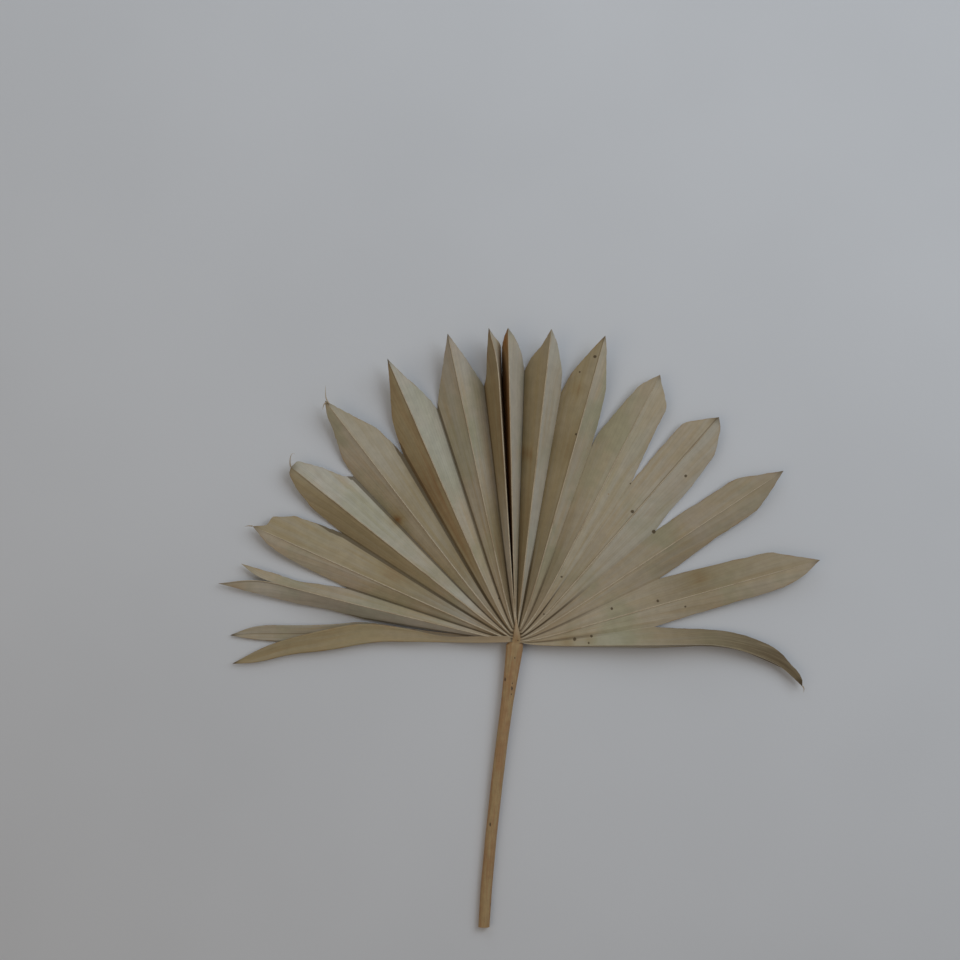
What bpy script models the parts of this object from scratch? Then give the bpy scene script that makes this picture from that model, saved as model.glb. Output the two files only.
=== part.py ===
"""A dried fan palm leaf, cut and laid down: a pleated blade and the stalk that it grew on.

The blade's lengths are millimetres from the hub, the point where the segments meet, with +X to
the right, +Y towards the tips and +Z up. Angles are degrees from +Y, positive to the right.
"""

import math
from typing import NamedTuple

import bmesh
import bpy
from mathutils import Vector

MM = 0.001
PART_NAME = "dried_palm_leaf"

# The blade as it grew
BLADE_THICKNESS = 0.8
HALF_SEGMENT_ANGLE = 8.1
MOST_UPRIGHT_THICKNESS = 2.6
HUB_THICKNESS = 2.6
HUB_UNDERSIDE = 6.4
HUB_REACH = 0.12
HALF_BOW = 0.03

# The rim at the hub, where every pleat starts
RIM_MIDDLE_X = 0.6
RIM_HALF_WIDTH = 3.1
RIM_TOP = 7.5
RIM_DROP = 11.2
LEFT_LINE_OFFSET = -4.3
RIGHT_LINE_OFFSET = 6.2
OFFSET_FULL_ANGLE = 30.0
RIM_BEND = 8

# The mesh
JOINED_ROWS = 16
FREE_ROWS = 14
HALF_COLUMNS = 2
WELD = 0.02


class Valley(NamedTuple):
    """The crease between two segments: where they part, and how high its underside is there."""

    notch: tuple
    lift: float


class Segment(NamedTuple):
    """One spear of the fan past its notches: both free edges, the midrib and the tip."""

    tip: tuple
    tip_height: float
    left_edge: tuple
    right_edge: tuple
    midrib: tuple = ()
    fork: tuple = ()
    second_tip: tuple = ()


class Ribbon(NamedTuple):
    """A loose outer strip, as (x, y, top height) points from the hub to the tip."""

    upper_edge: tuple
    lower_edge: tuple
    tip: tuple


# From the lowest joined segment on the left, round over the middle, to the lowest on the right
VALLEYS = (
    Valley((-98.5, 11.0), 1.4),
    Valley((-109.0, 31.0), 0.5),
    Valley((-113.0, 67.0), 0.0),
    Valley((-105.5, 104.5), 0.0),
    Valley((-73.0, 118.0), 0.3),
    Valley((-51.0, 148.5), 0.0),
    Valley((-20.5, 163.5), 0.2),
    Valley((-8.6, 166.0), 0.4),
    Valley((6.0, 173.5), 0.0),
    Valley((30.0, 159.5), 0.0),
    Valley((49.5, 123.0), 0.2),
    Valley((76.0, 100.5), 0.0),
    Valley((91.5, 68.5), 0.0),
    Valley((94.0, 37.5), 0.8),
    Valley((90.5, 6.0), 2.0),
    Valley((92.0, -7.5), 3.4),
)

SEGMENTS = (
    Segment(
        tip=(-194.0, 34.5),
        tip_height=5.0,
        left_edge=((-122.5, 17.5), (-143.5, 21.5), (-163.5, 26.5)),
        right_edge=((-129.0, 34.0), (-143.0, 36.0), (-155.5, 40.5)),
        midrib=((-138.0, 30.0),),
        fork=(-167.5, 37.6),
        second_tip=(-179.0, 47.5),
    ),
    Segment(
        tip=(-171.0, 72.0),
        tip_height=8.0,
        left_edge=((-135.5, 44.0), (-153.0, 53.5), (-162.5, 61.0)),
        right_edge=((-129.5, 73.5), (-143.5, 78.5), (-159.0, 77.5)),
    ),
    Segment(
        tip=(-146.0, 110.5),
        tip_height=10.0,
        left_edge=((-132.5, 83.5), (-142.5, 96.0), (-147.5, 106.0)),
        right_edge=((-112.5, 104.5), (-127.0, 110.5), (-142.0, 114.5)),
    ),
    Segment(
        tip=(-123.5, 153.5),
        tip_height=14.0,
        left_edge=((-112.5, 114.5), (-118.0, 132.5), (-123.0, 145.5)),
        right_edge=((-79.0, 125.0), (-90.5, 136.0), (-112.5, 147.5)),
    ),
    Segment(
        tip=(-83.0, 180.5),
        tip_height=17.0,
        left_edge=((-78.5, 134.0), (-80.5, 142.5), (-82.0, 169.0)),
        right_edge=((-55.0, 153.5), (-61.5, 160.5), (-71.5, 169.0)),
    ),
    Segment(
        tip=(-44.0, 196.5),
        tip_height=20.0,
        left_edge=((-50.0, 159.5), (-47.0, 177.5)),
        right_edge=((-24.0, 169.0), (-35.0, 185.0)),
    ),
    Segment(
        tip=(-17.5, 200.0),
        tip_height=24.0,
        left_edge=((-19.0, 169.0), (-18.6, 185.0)),
        right_edge=((-9.6, 190.5), (-13.5, 194.0)),
    ),
    Segment(
        tip=(-5.0, 200.0),
        tip_height=24.0,
        left_edge=((-8.9, 189.5), (-6.6, 197.0)),
        right_edge=((4.0, 185.0), (0.0, 193.5)),
    ),
    Segment(
        tip=(23.0, 199.5),
        tip_height=21.0,
        left_edge=((10.5, 182.5), (16.5, 188.5)),
        right_edge=((30.5, 173.5), (27.0, 191.0)),
    ),
    Segment(
        tip=(58.0, 195.5),
        tip_height=17.0,
        left_edge=((36.5, 172.0), (50.5, 188.0)),
        right_edge=((54.5, 140.5), (59.0, 161.0), (59.0, 188.5)),
    ),
    Segment(
        tip=(94.0, 170.5),
        tip_height=10.0,
        left_edge=((54.5, 133.5), (81.0, 164.0)),
        right_edge=((90.5, 132.0), (99.0, 149.5)),
    ),
    Segment(
        tip=(132.5, 143.0),
        tip_height=8.0,
        left_edge=((100.0, 129.0), (110.0, 140.0)),
        right_edge=((98.5, 78.5), (116.0, 99.0), (130.0, 118.0), (134.0, 136.0)),
    ),
    Segment(
        tip=(174.5, 108.0),
        tip_height=8.0,
        left_edge=((109.5, 81.0), (125.5, 91.0), (143.5, 103.0)),
        right_edge=((108.0, 47.0), (131.5, 64.5), (157.0, 81.5), (165.0, 92.5)),
    ),
    Segment(
        tip=(198.0, 50.0),
        tip_height=10.0,
        left_edge=((125.5, 45.5), (147.5, 51.0), (166.5, 55.0)),
        right_edge=((116.0, 14.0), (147.5, 23.5), (175.0, 32.0), (187.0, 39.0)),
    ),
    Segment(
        tip=(187.0, -32.5),
        tip_height=7.0,
        left_edge=((125.5, 3.5), (141.0, 1.0), (157.0, -3.5), (171.0, -10.5), (180.5, -17.5)),
        right_edge=((128.5, -6.0), (147.5, -9.0), (163.0, -15.5), (176.0, -21.5)),
        midrib=((110.0, -1.5), (128.0, -1.5), (144.0, -4.5), (160.0, -9.5), (173.5, -16.5)),
    ),
)

# The two loose strips at the lower left: the front one, and the one behind it that shows above it
RIBBONS = (
    Ribbon(
        upper_edge=(
            (-3.2, 0.5, 8.6),
            (-20.0, 0.5, 8.8),
            (-47.0, -0.5, 8.4),
            (-66.0, 4.5, 8.2),
            (-98.5, 9.5, 8.0),
            (-122.5, 5.0, 7.2),
            (-149.0, -1.5, 6.0),
            (-166.0, -7.5, 5.0),
        ),
        lower_edge=(
            (-3.2, -3.4, 8.2),
            (-20.5, -4.2, 7.6),
            (-47.0, -3.8, 6.6),
            (-66.0, -3.6, 6.2),
            (-91.5, -3.2, 6.2),
            (-122.5, -9.5, 5.6),
            (-146.5, -11.5, 5.0),
            (-168.5, -17.5, 4.2),
        ),
        tip=(-185.0, -18.0, 4.0),
    ),
    Ribbon(
        upper_edge=(
            (-4.0, -0.5, 6.4),
            (-40.0, 1.5, 4.4),
            (-70.0, 5.0, 3.2),
            (-98.5, 9.8, 2.6),
            (-119.5, 7.6, 2.6),
            (-142.5, 7.0, 2.8),
            (-169.5, 7.5, 3.2),
        ),
        lower_edge=(
            (-4.0, -3.2, 6.0),
            (-40.0, -2.6, 3.8),
            (-70.0, -0.5, 2.4),
            (-98.5, 1.0, 1.8),
            (-119.5, -1.5, 1.6),
            (-145.0, -4.0, 1.6),
            (-168.0, -3.0, 2.0),
        ),
        tip=(-186.5, 0.5, 2.6),
    ),
)

# The stalk, from its cut end to the point where it runs out between the pleats:
# how far along, its middle across, its middle's height, half its width, half its depth
STALK_STATIONS = (
    (-190.0, -20.5, 3.1, 3.7, 3.4),
    (-165.0, -19.0, 3.1, 3.8, 3.4),
    (-130.0, -15.8, 3.2, 3.8, 3.5),
    (-95.0, -12.0, 4.0, 3.9, 3.4),
    (-65.0, -8.3, 4.8, 3.9, 3.3),
    (-42.0, -5.2, 5.4, 4.1, 3.2),
    (-22.0, -2.4, 6.0, 4.9, 3.0),
    (-9.0, -0.7, 6.5, 5.5, 2.8),
    (-6.4, -0.3, 6.7, 5.3, 2.7),
    (-5.4, 0.4, 6.8, 2.6, 2.4),
    (-1.0, 0.6, 7.2, 2.4, 2.2),
    (2.5, 0.6, 7.6, 1.9, 2.0),
    (4.6, 0.6, 7.9, 1.1, 1.5),
    (6.1, 0.6, 8.1, 0.4, 0.9),
)
STALK_SIDES = 16
STALK_FLATTENING = 0.75

BLADE_COLOUR = (0.45, 0.39, 0.28, 1.0)
BLADE_ROUGHNESS = 0.7
STALK_COLOUR = (0.36, 0.24, 0.13, 1.0)
STALK_ROUGHNESS = 0.6


def clear_scene():
    """Remove whatever the scene starts with."""
    for obj in list(bpy.data.objects):
        bpy.data.objects.remove(obj, do_unlink=True)


def new_collection(name):
    """Make a collection and link it to the scene."""
    collection = bpy.data.collections.new(name)
    bpy.context.scene.collection.children.link(collection)
    return collection


def new_material(name, colour, roughness):
    """Make a dry, non-metallic finish."""
    material = bpy.data.materials.new(name)
    material.use_nodes = True
    shader = material.node_tree.nodes["Principled BSDF"]
    shader.inputs["Base Color"].default_value = colour
    shader.inputs["Roughness"].default_value = roughness
    shader.inputs["Metallic"].default_value = 0.0
    material.diffuse_color = colour
    return material


def new_object(name, bm, collection):
    """Turn an edit mesh in millimetres into an object in metres."""
    bmesh.ops.recalc_face_normals(bm, faces=bm.faces)
    bmesh.ops.scale(bm, vec=Vector((MM, MM, MM)), verts=bm.verts)
    mesh = bpy.data.meshes.new(name)
    bm.to_mesh(mesh)
    bm.free()
    obj = bpy.data.objects.new(name, mesh)
    collection.objects.link(obj)
    return obj


def smooth_step(value):
    """Ease from 0 to 1 as the value goes from 0 to 1."""
    value = min(max(value, 0.0), 1.0)
    return value * value * (3.0 - 2.0 * value)


def direction_of(point):
    """The angle of a point seen from the hub."""
    return math.degrees(math.atan2(point[0], point[1]))


def rim_point(angle):
    """Where a line that leaves the hub at this angle starts on the rim."""
    across = math.radians(min(max(2.5 * angle, -90.0), 90.0))
    return Vector(
        (
            RIM_MIDDLE_X + RIM_HALF_WIDTH * math.sin(across),
            RIM_TOP - RIM_DROP * math.sin(math.radians(0.9 * abs(angle))),
        )
    )


def line_foot(angle):
    """The point that a crease or midrib aims at: the lines pass a little below the hub."""
    offset = RIGHT_LINE_OFFSET if angle > 0.0 else LEFT_LINE_OFFSET
    offset *= smooth_step(abs(angle) / OFFSET_FULL_ANGLE)
    turn = math.radians(angle)
    return Vector((math.cos(turn), -math.sin(turn))) * offset


def hub_line(end, aim, share):
    """A point on the line from the rim to end, share of the way; aim sets the line's direction."""
    angle = direction_of(aim)
    foot = line_foot(angle)
    return foot + (Vector(end) - foot) * share + (rim_point(angle) - foot) * (1.0 - share) ** RIM_BEND


def along(points, share):
    """The point at this share of a polyline's length."""
    points = [Vector(point) for point in points]
    lengths = [(b - a).length for a, b in zip(points, points[1:])]
    left = share * sum(lengths)
    for start, end, length in zip(points, points[1:], lengths):
        if left <= length:
            return start.lerp(end, left / length)
        left -= length
    return points[-1]


def crest_slope(left_notch, right_notch):
    """How steeply a midrib climbs above its valleys, and the slope of the pleat's two sides.

    Each half segment is as wide as it grew, so the closer its creases lie, the higher its
    midrib stands.
    """
    drawn = math.radians(direction_of(right_notch) - direction_of(left_notch)) / 2.0
    grown = math.tan(math.radians(HALF_SEGMENT_ANGLE))
    shown = min(math.tan(drawn), 0.985 * grown)
    return math.sqrt(grown**2 - shown**2), shown / grown


def upright_thickness(flatness, share):
    """The blade's thickness measured straight up, thicker where the pleats meet at the hub."""
    nominal = min(BLADE_THICKNESS / flatness, MOST_UPRIGHT_THICKNESS)
    hub = 1.0 - smooth_step(share / HUB_REACH)
    return nominal + (max(HUB_THICKNESS, nominal) - nominal) * hub


class Pleat:
    """One segment between its two valleys, as heights over the plane that the leaf lies on."""

    def __init__(self, segment, left, right, left_flatness, right_flatness):
        self.segment = segment
        self.left = left
        self.right = right
        self.rise, self.flatness = crest_slope(left.notch, right.notch)
        self.left_flatness = left_flatness
        self.right_flatness = right_flatness
        reach = (Vector(left.notch).length + Vector(right.notch).length) / 2.0
        tip = Vector(segment.tip)
        aim = Vector(segment.midrib[0]) if segment.midrib else tip
        self.aim = aim
        if segment.midrib:
            self.crest = hub_line(aim, aim, min(reach / aim.length, 1.0))
        else:
            self.crest = hub_line(tip, tip, reach / tip.length)

    def valley_height(self, valley, flatness, share):
        """The height of the blade's upper face in a valley, share of the way to the notch."""
        underside = HUB_UNDERSIDE + (valley.lift - HUB_UNDERSIDE) * share
        return underside + upright_thickness(flatness, share)

    def valley_point(self, valley, edge, flatness, share, tip, tip_height):
        """A point on a valley, or past the notch on the free edge that carries it on."""
        if share <= 1.0:
            x, y = hub_line(valley.notch, valley.notch, share)
            return Vector((x, y, self.valley_height(valley, flatness, share)))
        past = share - 1.0
        x, y = along((valley.notch, *edge, tip), past)
        low = self.valley_height(valley, flatness, 1.0)
        return Vector((x, y, low + (tip_height - low) * past**1.2))

    def crest_point(self, share, half_tip, tip_height):
        """A point on the midrib, or past a fork on the inner edge of one half."""
        low = (
            self.valley_height(self.left, self.flatness, min(share, 1.0))
            + self.valley_height(self.right, self.flatness, min(share, 1.0))
        ) / 2.0
        if share <= 1.0:
            x, y = hub_line(self.crest, self.aim, share)
            return Vector((x, y, low + self.rise * math.hypot(x, y)))
        past = share - 1.0
        height = low + self.rise * self.crest.length
        fork = (self.segment.fork,) if self.segment.fork else ()
        x, y = along((self.crest, *self.segment.midrib, *fork, half_tip), past)
        return Vector((x, y, height + (tip_height - height) * smooth_step(past)))


def add_half(bm, outer_line, inner_line, flatness_at):
    """Add half a segment as a grid between its valley and its midrib."""
    thickness = bm.verts.layers.float["thickness"]
    rows = JOINED_ROWS + FREE_ROWS
    made = bmesh.ops.create_grid(bm, x_segments=rows, y_segments=HALF_COLUMNS, size=0.5)
    for vert in made["verts"]:
        row = round((vert.co.x + 0.5) * rows)
        across = vert.co.y + 0.5
        if row <= JOINED_ROWS:
            share = row / JOINED_ROWS
        else:
            share = 1.0 + (row - JOINED_ROWS) / FREE_ROWS
        outer = outer_line(share)
        inner = inner_line(share)
        point = outer.lerp(inner, across)
        point.z += HALF_BOW * (inner - outer).length * math.sin(math.pi * across)
        vert.co = point
        vert[thickness] = upright_thickness(flatness_at(across), min(share, 1.0))


def add_pleat(bm, pleat):
    """Add both halves of a segment."""
    segment = pleat.segment
    right_tip = segment.second_tip or segment.tip

    def left_line(share):
        return pleat.valley_point(
            pleat.left, segment.left_edge, pleat.left_flatness, share, segment.tip, segment.tip_height
        )

    def right_line(share):
        return pleat.valley_point(
            pleat.right, segment.right_edge, pleat.right_flatness, share, right_tip, segment.tip_height
        )

    def left_crest(share):
        return pleat.crest_point(share, segment.tip, segment.tip_height)

    def right_crest(share):
        return pleat.crest_point(share, right_tip, segment.tip_height)

    def left_flatness(across):
        return pleat.left_flatness + (pleat.flatness - pleat.left_flatness) * across

    def right_flatness(across):
        return pleat.right_flatness + (pleat.flatness - pleat.right_flatness) * across

    add_half(bm, left_line, left_crest, left_flatness)
    add_half(bm, right_line, right_crest, right_flatness)


def thicken(bm):
    """Weld the grids and give the sheet its underside, split into the same triangles."""
    bmesh.ops.remove_doubles(bm, verts=bm.verts, dist=WELD)
    bmesh.ops.triangulate(bm, faces=bm.faces)
    thickness = bm.verts.layers.float["thickness"]
    made = bmesh.ops.extrude_face_region(bm, geom=bm.faces[:], use_keep_orig=True)
    for item in made["geom"]:
        if isinstance(item, bmesh.types.BMVert):
            item.co.z = max(item.co.z - item[thickness], 0.0)


def pleated_sheet(collection):
    """The joined part of the fan: every segment between its two valleys."""
    bm = bmesh.new()
    bm.verts.layers.float.new("thickness")
    pairs = list(zip(VALLEYS, VALLEYS[1:]))
    own = [crest_slope(left.notch, right.notch)[1] for left, right in pairs]
    shared = [own[0]] + [min(a, b) for a, b in zip(own, own[1:])] + [own[-1]]
    for index, segment in enumerate(SEGMENTS):
        left, right = pairs[index]
        add_pleat(bm, Pleat(segment, left, right, shared[index], shared[index + 1]))
    thicken(bm)
    return new_object("leaf_fan", bm, collection)


def loose_ribbon(ribbon, collection):
    """One loose outer strip, a grid between its two edges that closes at the tip."""
    bm = bmesh.new()
    thickness = bm.verts.layers.float.new("thickness")
    rows = JOINED_ROWS + FREE_ROWS
    made = bmesh.ops.create_grid(bm, x_segments=rows, y_segments=2 * HALF_COLUMNS, size=0.5)
    for vert in made["verts"]:
        share = vert.co.x + 0.5
        across = vert.co.y + 0.5
        upper = along((*ribbon.upper_edge, ribbon.tip), share)
        lower = along((*ribbon.lower_edge, ribbon.tip), share)
        vert.co = lower.lerp(upper, across)
        vert.co.z += HALF_BOW * (upper - lower).length * math.sin(math.pi * across)
        vert[thickness] = upright_thickness(1.0, share)
    thicken(bm)
    return new_object("loose_strip", bm, collection)


def join_to(obj, helpers):
    """Fuse the helper collection's solids to the object, then remove them."""
    union = obj.modifiers.new("join", "BOOLEAN")
    union.operation = "UNION"
    union.operand_type = "COLLECTION"
    union.collection = helpers
    union.solver = "MANIFOLD"
    graph = bpy.context.evaluated_depsgraph_get()
    joined = bpy.data.meshes.new_from_object(obj.evaluated_get(graph))
    obj.modifiers.clear()
    obj.data = joined
    for helper in list(helpers.objects):
        bpy.data.objects.remove(helper, do_unlink=True)
    bpy.data.collections.remove(helpers)


def build_fan(collection):
    """The whole blade, one body."""
    fan = pleated_sheet(collection)
    strips = new_collection("loose_strips")
    for ribbon in RIBBONS:
        loose_ribbon(ribbon, strips)
    join_to(fan, strips)
    fan.data.materials.clear()
    fan.data.materials.append(new_material("dry_blade", BLADE_COLOUR, BLADE_ROUGHNESS))
    return fan


def stalk_ring(station):
    """The stalk's outline at a station: an oval with a flatter upper side, flat where it rests."""
    along_y, across_x, height, half_width, half_depth = station
    ring = []
    for side in range(STALK_SIDES):
        turn = 2.0 * math.pi * side / STALK_SIDES
        up = math.sin(turn)
        depth = half_depth * (STALK_FLATTENING if up > 0.0 else 1.0)
        low = max(height + depth * up, 0.0)
        ring.append(Vector((across_x + half_width * math.cos(turn), along_y, low)))
    return ring


def build_stalk(collection):
    """The stalk: an oval ring at each station, bridged to the next, with both ends closed."""
    bm = bmesh.new()
    rings = []
    for station in STALK_STATIONS:
        closed = station in (STALK_STATIONS[0], STALK_STATIONS[-1])
        made = bmesh.ops.create_circle(bm, cap_ends=closed, segments=STALK_SIDES, radius=1.0)
        for vert, point in zip(made["verts"], stalk_ring(station)):
            vert.co = point
        rings.append({edge for vert in made["verts"] for edge in vert.link_edges})
    for ring, following in zip(rings, rings[1:]):
        bmesh.ops.bridge_loops(bm, edges=list(ring | following))
    stalk = new_object("leaf_stalk", bm, collection)
    stalk.data.materials.append(new_material("dry_stalk", STALK_COLOUR, STALK_ROUGHNESS))
    return stalk


def centre_on_origin(objects):
    """Move the leaf so that its box stands on the origin."""
    corners = [vert.co for obj in objects for vert in obj.data.vertices]
    low = Vector(min(corner[axis] for corner in corners) for axis in range(3))
    high = Vector(max(corner[axis] for corner in corners) for axis in range(3))
    shift = Vector((-(low.x + high.x) / 2.0, -(low.y + high.y) / 2.0, -low.z))
    for obj in objects:
        for vert in obj.data.vertices:
            vert.co += shift


def main():
    """Build the leaf."""
    clear_scene()
    collection = new_collection(PART_NAME)
    centre_on_origin([build_fan(collection), build_stalk(collection)])


main()
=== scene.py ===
import logging
import math
import random
from dataclasses import dataclass
from enum import Enum
from typing import Iterable, Sequence

import bmesh
import bpy
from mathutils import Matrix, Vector, noise


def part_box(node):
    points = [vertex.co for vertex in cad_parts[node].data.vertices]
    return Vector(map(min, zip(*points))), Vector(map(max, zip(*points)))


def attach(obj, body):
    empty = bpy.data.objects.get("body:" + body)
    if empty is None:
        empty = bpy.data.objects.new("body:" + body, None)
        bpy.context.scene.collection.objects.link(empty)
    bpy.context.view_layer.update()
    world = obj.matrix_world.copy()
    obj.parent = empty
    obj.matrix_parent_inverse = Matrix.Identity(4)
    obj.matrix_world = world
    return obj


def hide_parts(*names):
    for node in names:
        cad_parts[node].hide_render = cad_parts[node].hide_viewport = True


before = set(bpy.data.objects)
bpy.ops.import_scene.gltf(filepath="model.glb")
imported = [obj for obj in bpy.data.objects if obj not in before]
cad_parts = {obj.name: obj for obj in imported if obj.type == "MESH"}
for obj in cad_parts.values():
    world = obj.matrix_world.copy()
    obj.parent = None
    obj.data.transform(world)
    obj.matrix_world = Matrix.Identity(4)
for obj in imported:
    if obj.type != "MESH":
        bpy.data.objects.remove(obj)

# The looks of a dried fan palm leaf, cut and laid down. Lengths in the form below are millimetres
# from the hub, with +X to the right, +Y towards the tips and +Z up, and angles are degrees from +Y.
# A reach is a distance from the hub: FULL_REACH is 1 on the sheet's own map, and a face's tint and
# shade change from near to far between NEAR_REACH and FAR_REACH. Points closer than WELD are one.

LOG = logging.getLogger("dried_palm_leaf")
MM = 0.001
SEED = 20431
FULL_REACH = 200.0
NEAR_REACH, FAR_REACH = 45.0, 125.0
WELD = 0.002

Point = tuple[float, ...]
Colour = tuple[float, float, float, float]
Socket = bpy.types.NodeSocket
Looks = dict[bmesh.types.BMVert, tuple[Vector, Point]]


def smooth_step(value: float) -> float:
    """Ease from 0 to 1, with the value held between them."""
    value = min(max(value, 0.0), 1.0)
    return value * value * (3.0 - 2.0 * value)


def direction_of(point: Sequence[float]) -> float:
    """Find a point's angle from +Y, seen from the hub, in degrees and positive to the right."""
    return math.degrees(math.atan2(point[0], point[1]))


class Trace:
    """A line through a few points, with its inner corners rounded, read by share of its length."""

    def __init__(self, points: Iterable[Sequence[float]], cut: float = 12.0) -> None:
        """Round the corners and measure the line.

        Args:
            points: the points in order.
            cut: the most that is cut off on each side of a corner.
        """
        self.points = [Vector(point) for point in points]
        for _ in range(3):
            self.points = self._rounded(self.points, cut)
            cut *= 0.5
        self.lengths = [(b - a).length for a, b in zip(self.points, self.points[1:])]
        self.total = sum(self.lengths)

    @staticmethod
    def _rounded(points: list[Vector], cut: float) -> list[Vector]:
        """Cut each inner corner, at most a quarter of the way along both of its sides.

        Args:
            points: the line's points.
            cut: the most that is cut off on each side.

        Returns:
            The line with twice the corners, each half as sharp.
        """
        rounded = [points[0]]
        for before, corner, after in zip(points, points[1:], points[2:]):
            for side in (before - corner, after - corner):
                rounded.append(corner + side * min(0.25, cut / max(side.length, 0.01)))
        return [*rounded, points[-1]]

    def at(self, share: float) -> Vector:
        """Read the line.

        Args:
            share: the share of its length, from 0 to 1.

        Returns:
            The point there.
        """
        left = share * self.total
        for start, end, length in zip(self.points, self.points[1:], self.lengths):
            if left <= length and length > 0.0:
                return start.lerp(end, left / length)
            left -= length
        return self.points[-1].copy()


class Tint(Enum):
    """How brown a face has dried: under 0 bleached, to a half towards ochre, then rust.

    On the blade's halves the steps were set together with painted light and shade: browner steps
    darken and warm some halves as painted shade, and paler steps lighten others as painted light.
    """

    BLEACHED = -0.2
    PALE = 0.0
    PLAIN = 0.1
    TAN = 0.25
    OCHRE = 0.42
    BROWN = 0.6
    RUST = 1.0


class PaintedShade(Enum):
    """How much painted shade darkens a face of the blade."""

    NONE = 0.0
    SOFT = 0.12
    DIM = 0.25
    DEEP = 0.4
    GLOOM = 0.62


@dataclass(frozen=True)
class Face:
    """How one half of a segment has dried and how it is painted lighter or darker, near the hub and
    towards its tip.

    Attributes:
        near: how brown it is near the hub, with painted light and shade.
        far: how brown it is towards the tip, with painted light and shade.
        near_painted_shade: how much painted shade darkens it near the hub.
        far_painted_shade: how much painted shade darkens it towards the tip.
    """

    near: Tint = Tint.PLAIN
    far: Tint = Tint.PLAIN
    near_painted_shade: PaintedShade = PaintedShade.NONE
    far_painted_shade: PaintedShade = PaintedShade.NONE

    def at(self, reach: float) -> tuple[float, float]:
        """Read the face.

        Args:
            reach: the distance from the hub.

        Returns:
            How brown it is there, with painted light and shade, and how much painted shade darkens
            it.
        """
        far = smooth_step((reach - NEAR_REACH) / (FAR_REACH - NEAR_REACH))
        brown = self.near.value + (self.far.value - self.near.value) * far
        dark = self.near_painted_shade.value + (self.far_painted_shade.value - self.near_painted_shade.value) * far
        return brown, dark


@dataclass(frozen=True)
class Valley:
    """The crease between two segments.

    Attributes:
        notch: where the two segments part.
        lift: the underside's height there.
    """

    notch: Point
    lift: float


@dataclass(frozen=True)
class Segment:
    """One spear of the fan past its notches.

    Attributes:
        tip: the tip's place.
        tip_height: the tip's height.
        left_edge: the free edge from the left notch towards the tip.
        right_edge: the free edge from the right notch towards the tip.
        left: how the left half has dried, with its painted light and shade.
        right: how the right half has dried, with its painted light and shade.
        midrib: points that the midrib passes beyond the notches, where it bends.
        fork: where the midrib splits, on a segment with two tips.
        second_tip: the right half's own tip, past a fork.
        cut: how much of each corner of the free edges is rounded off.
        rib_width: how wide the midrib is, beside the others.
    """

    tip: Point
    tip_height: float
    left_edge: tuple[Point, ...]
    right_edge: tuple[Point, ...]
    left: Face
    right: Face
    midrib: tuple[Point, ...] = ()
    fork: Point = ()
    second_tip: Point = ()
    cut: float = 1.6
    rib_width: float = 1.0


@dataclass(frozen=True)
class Ribbon:
    """A loose outer strip, as (x, y, top height) points from the hub to the tip.

    Attributes:
        name: the piece's name.
        upper_edge: the edge nearer the fan.
        lower_edge: the other edge.
        tip: the tip.
        tint: how brown it is.
    """

    name: str
    upper_edge: tuple[Point, ...]
    lower_edge: tuple[Point, ...]
    tip: Point
    tint: Tint


VALLEYS = (
    Valley((-98.5, 11.0), 1.4), Valley((-109.0, 31.0), 0.5), Valley((-113.0, 67.0), 0.0),
    Valley((-105.5, 104.5), 0.0), Valley((-73.0, 118.0), 0.3), Valley((-51.0, 148.5), 0.0),
    Valley((-20.5, 163.5), 0.2), Valley((-8.6, 166.0), 0.4), Valley((6.0, 173.5), 0.0),
    Valley((30.0, 159.5), 0.0), Valley((49.5, 123.0), 0.2), Valley((76.0, 100.5), 0.0),
    Valley((91.5, 68.5), 0.0), Valley((94.0, 37.5), 0.8), Valley((90.5, 6.0), 2.0),
    Valley((92.0, -7.5), 3.4),
)

# Each half's Face gives its browning together with painted light and shade, and its painted shade.
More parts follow.
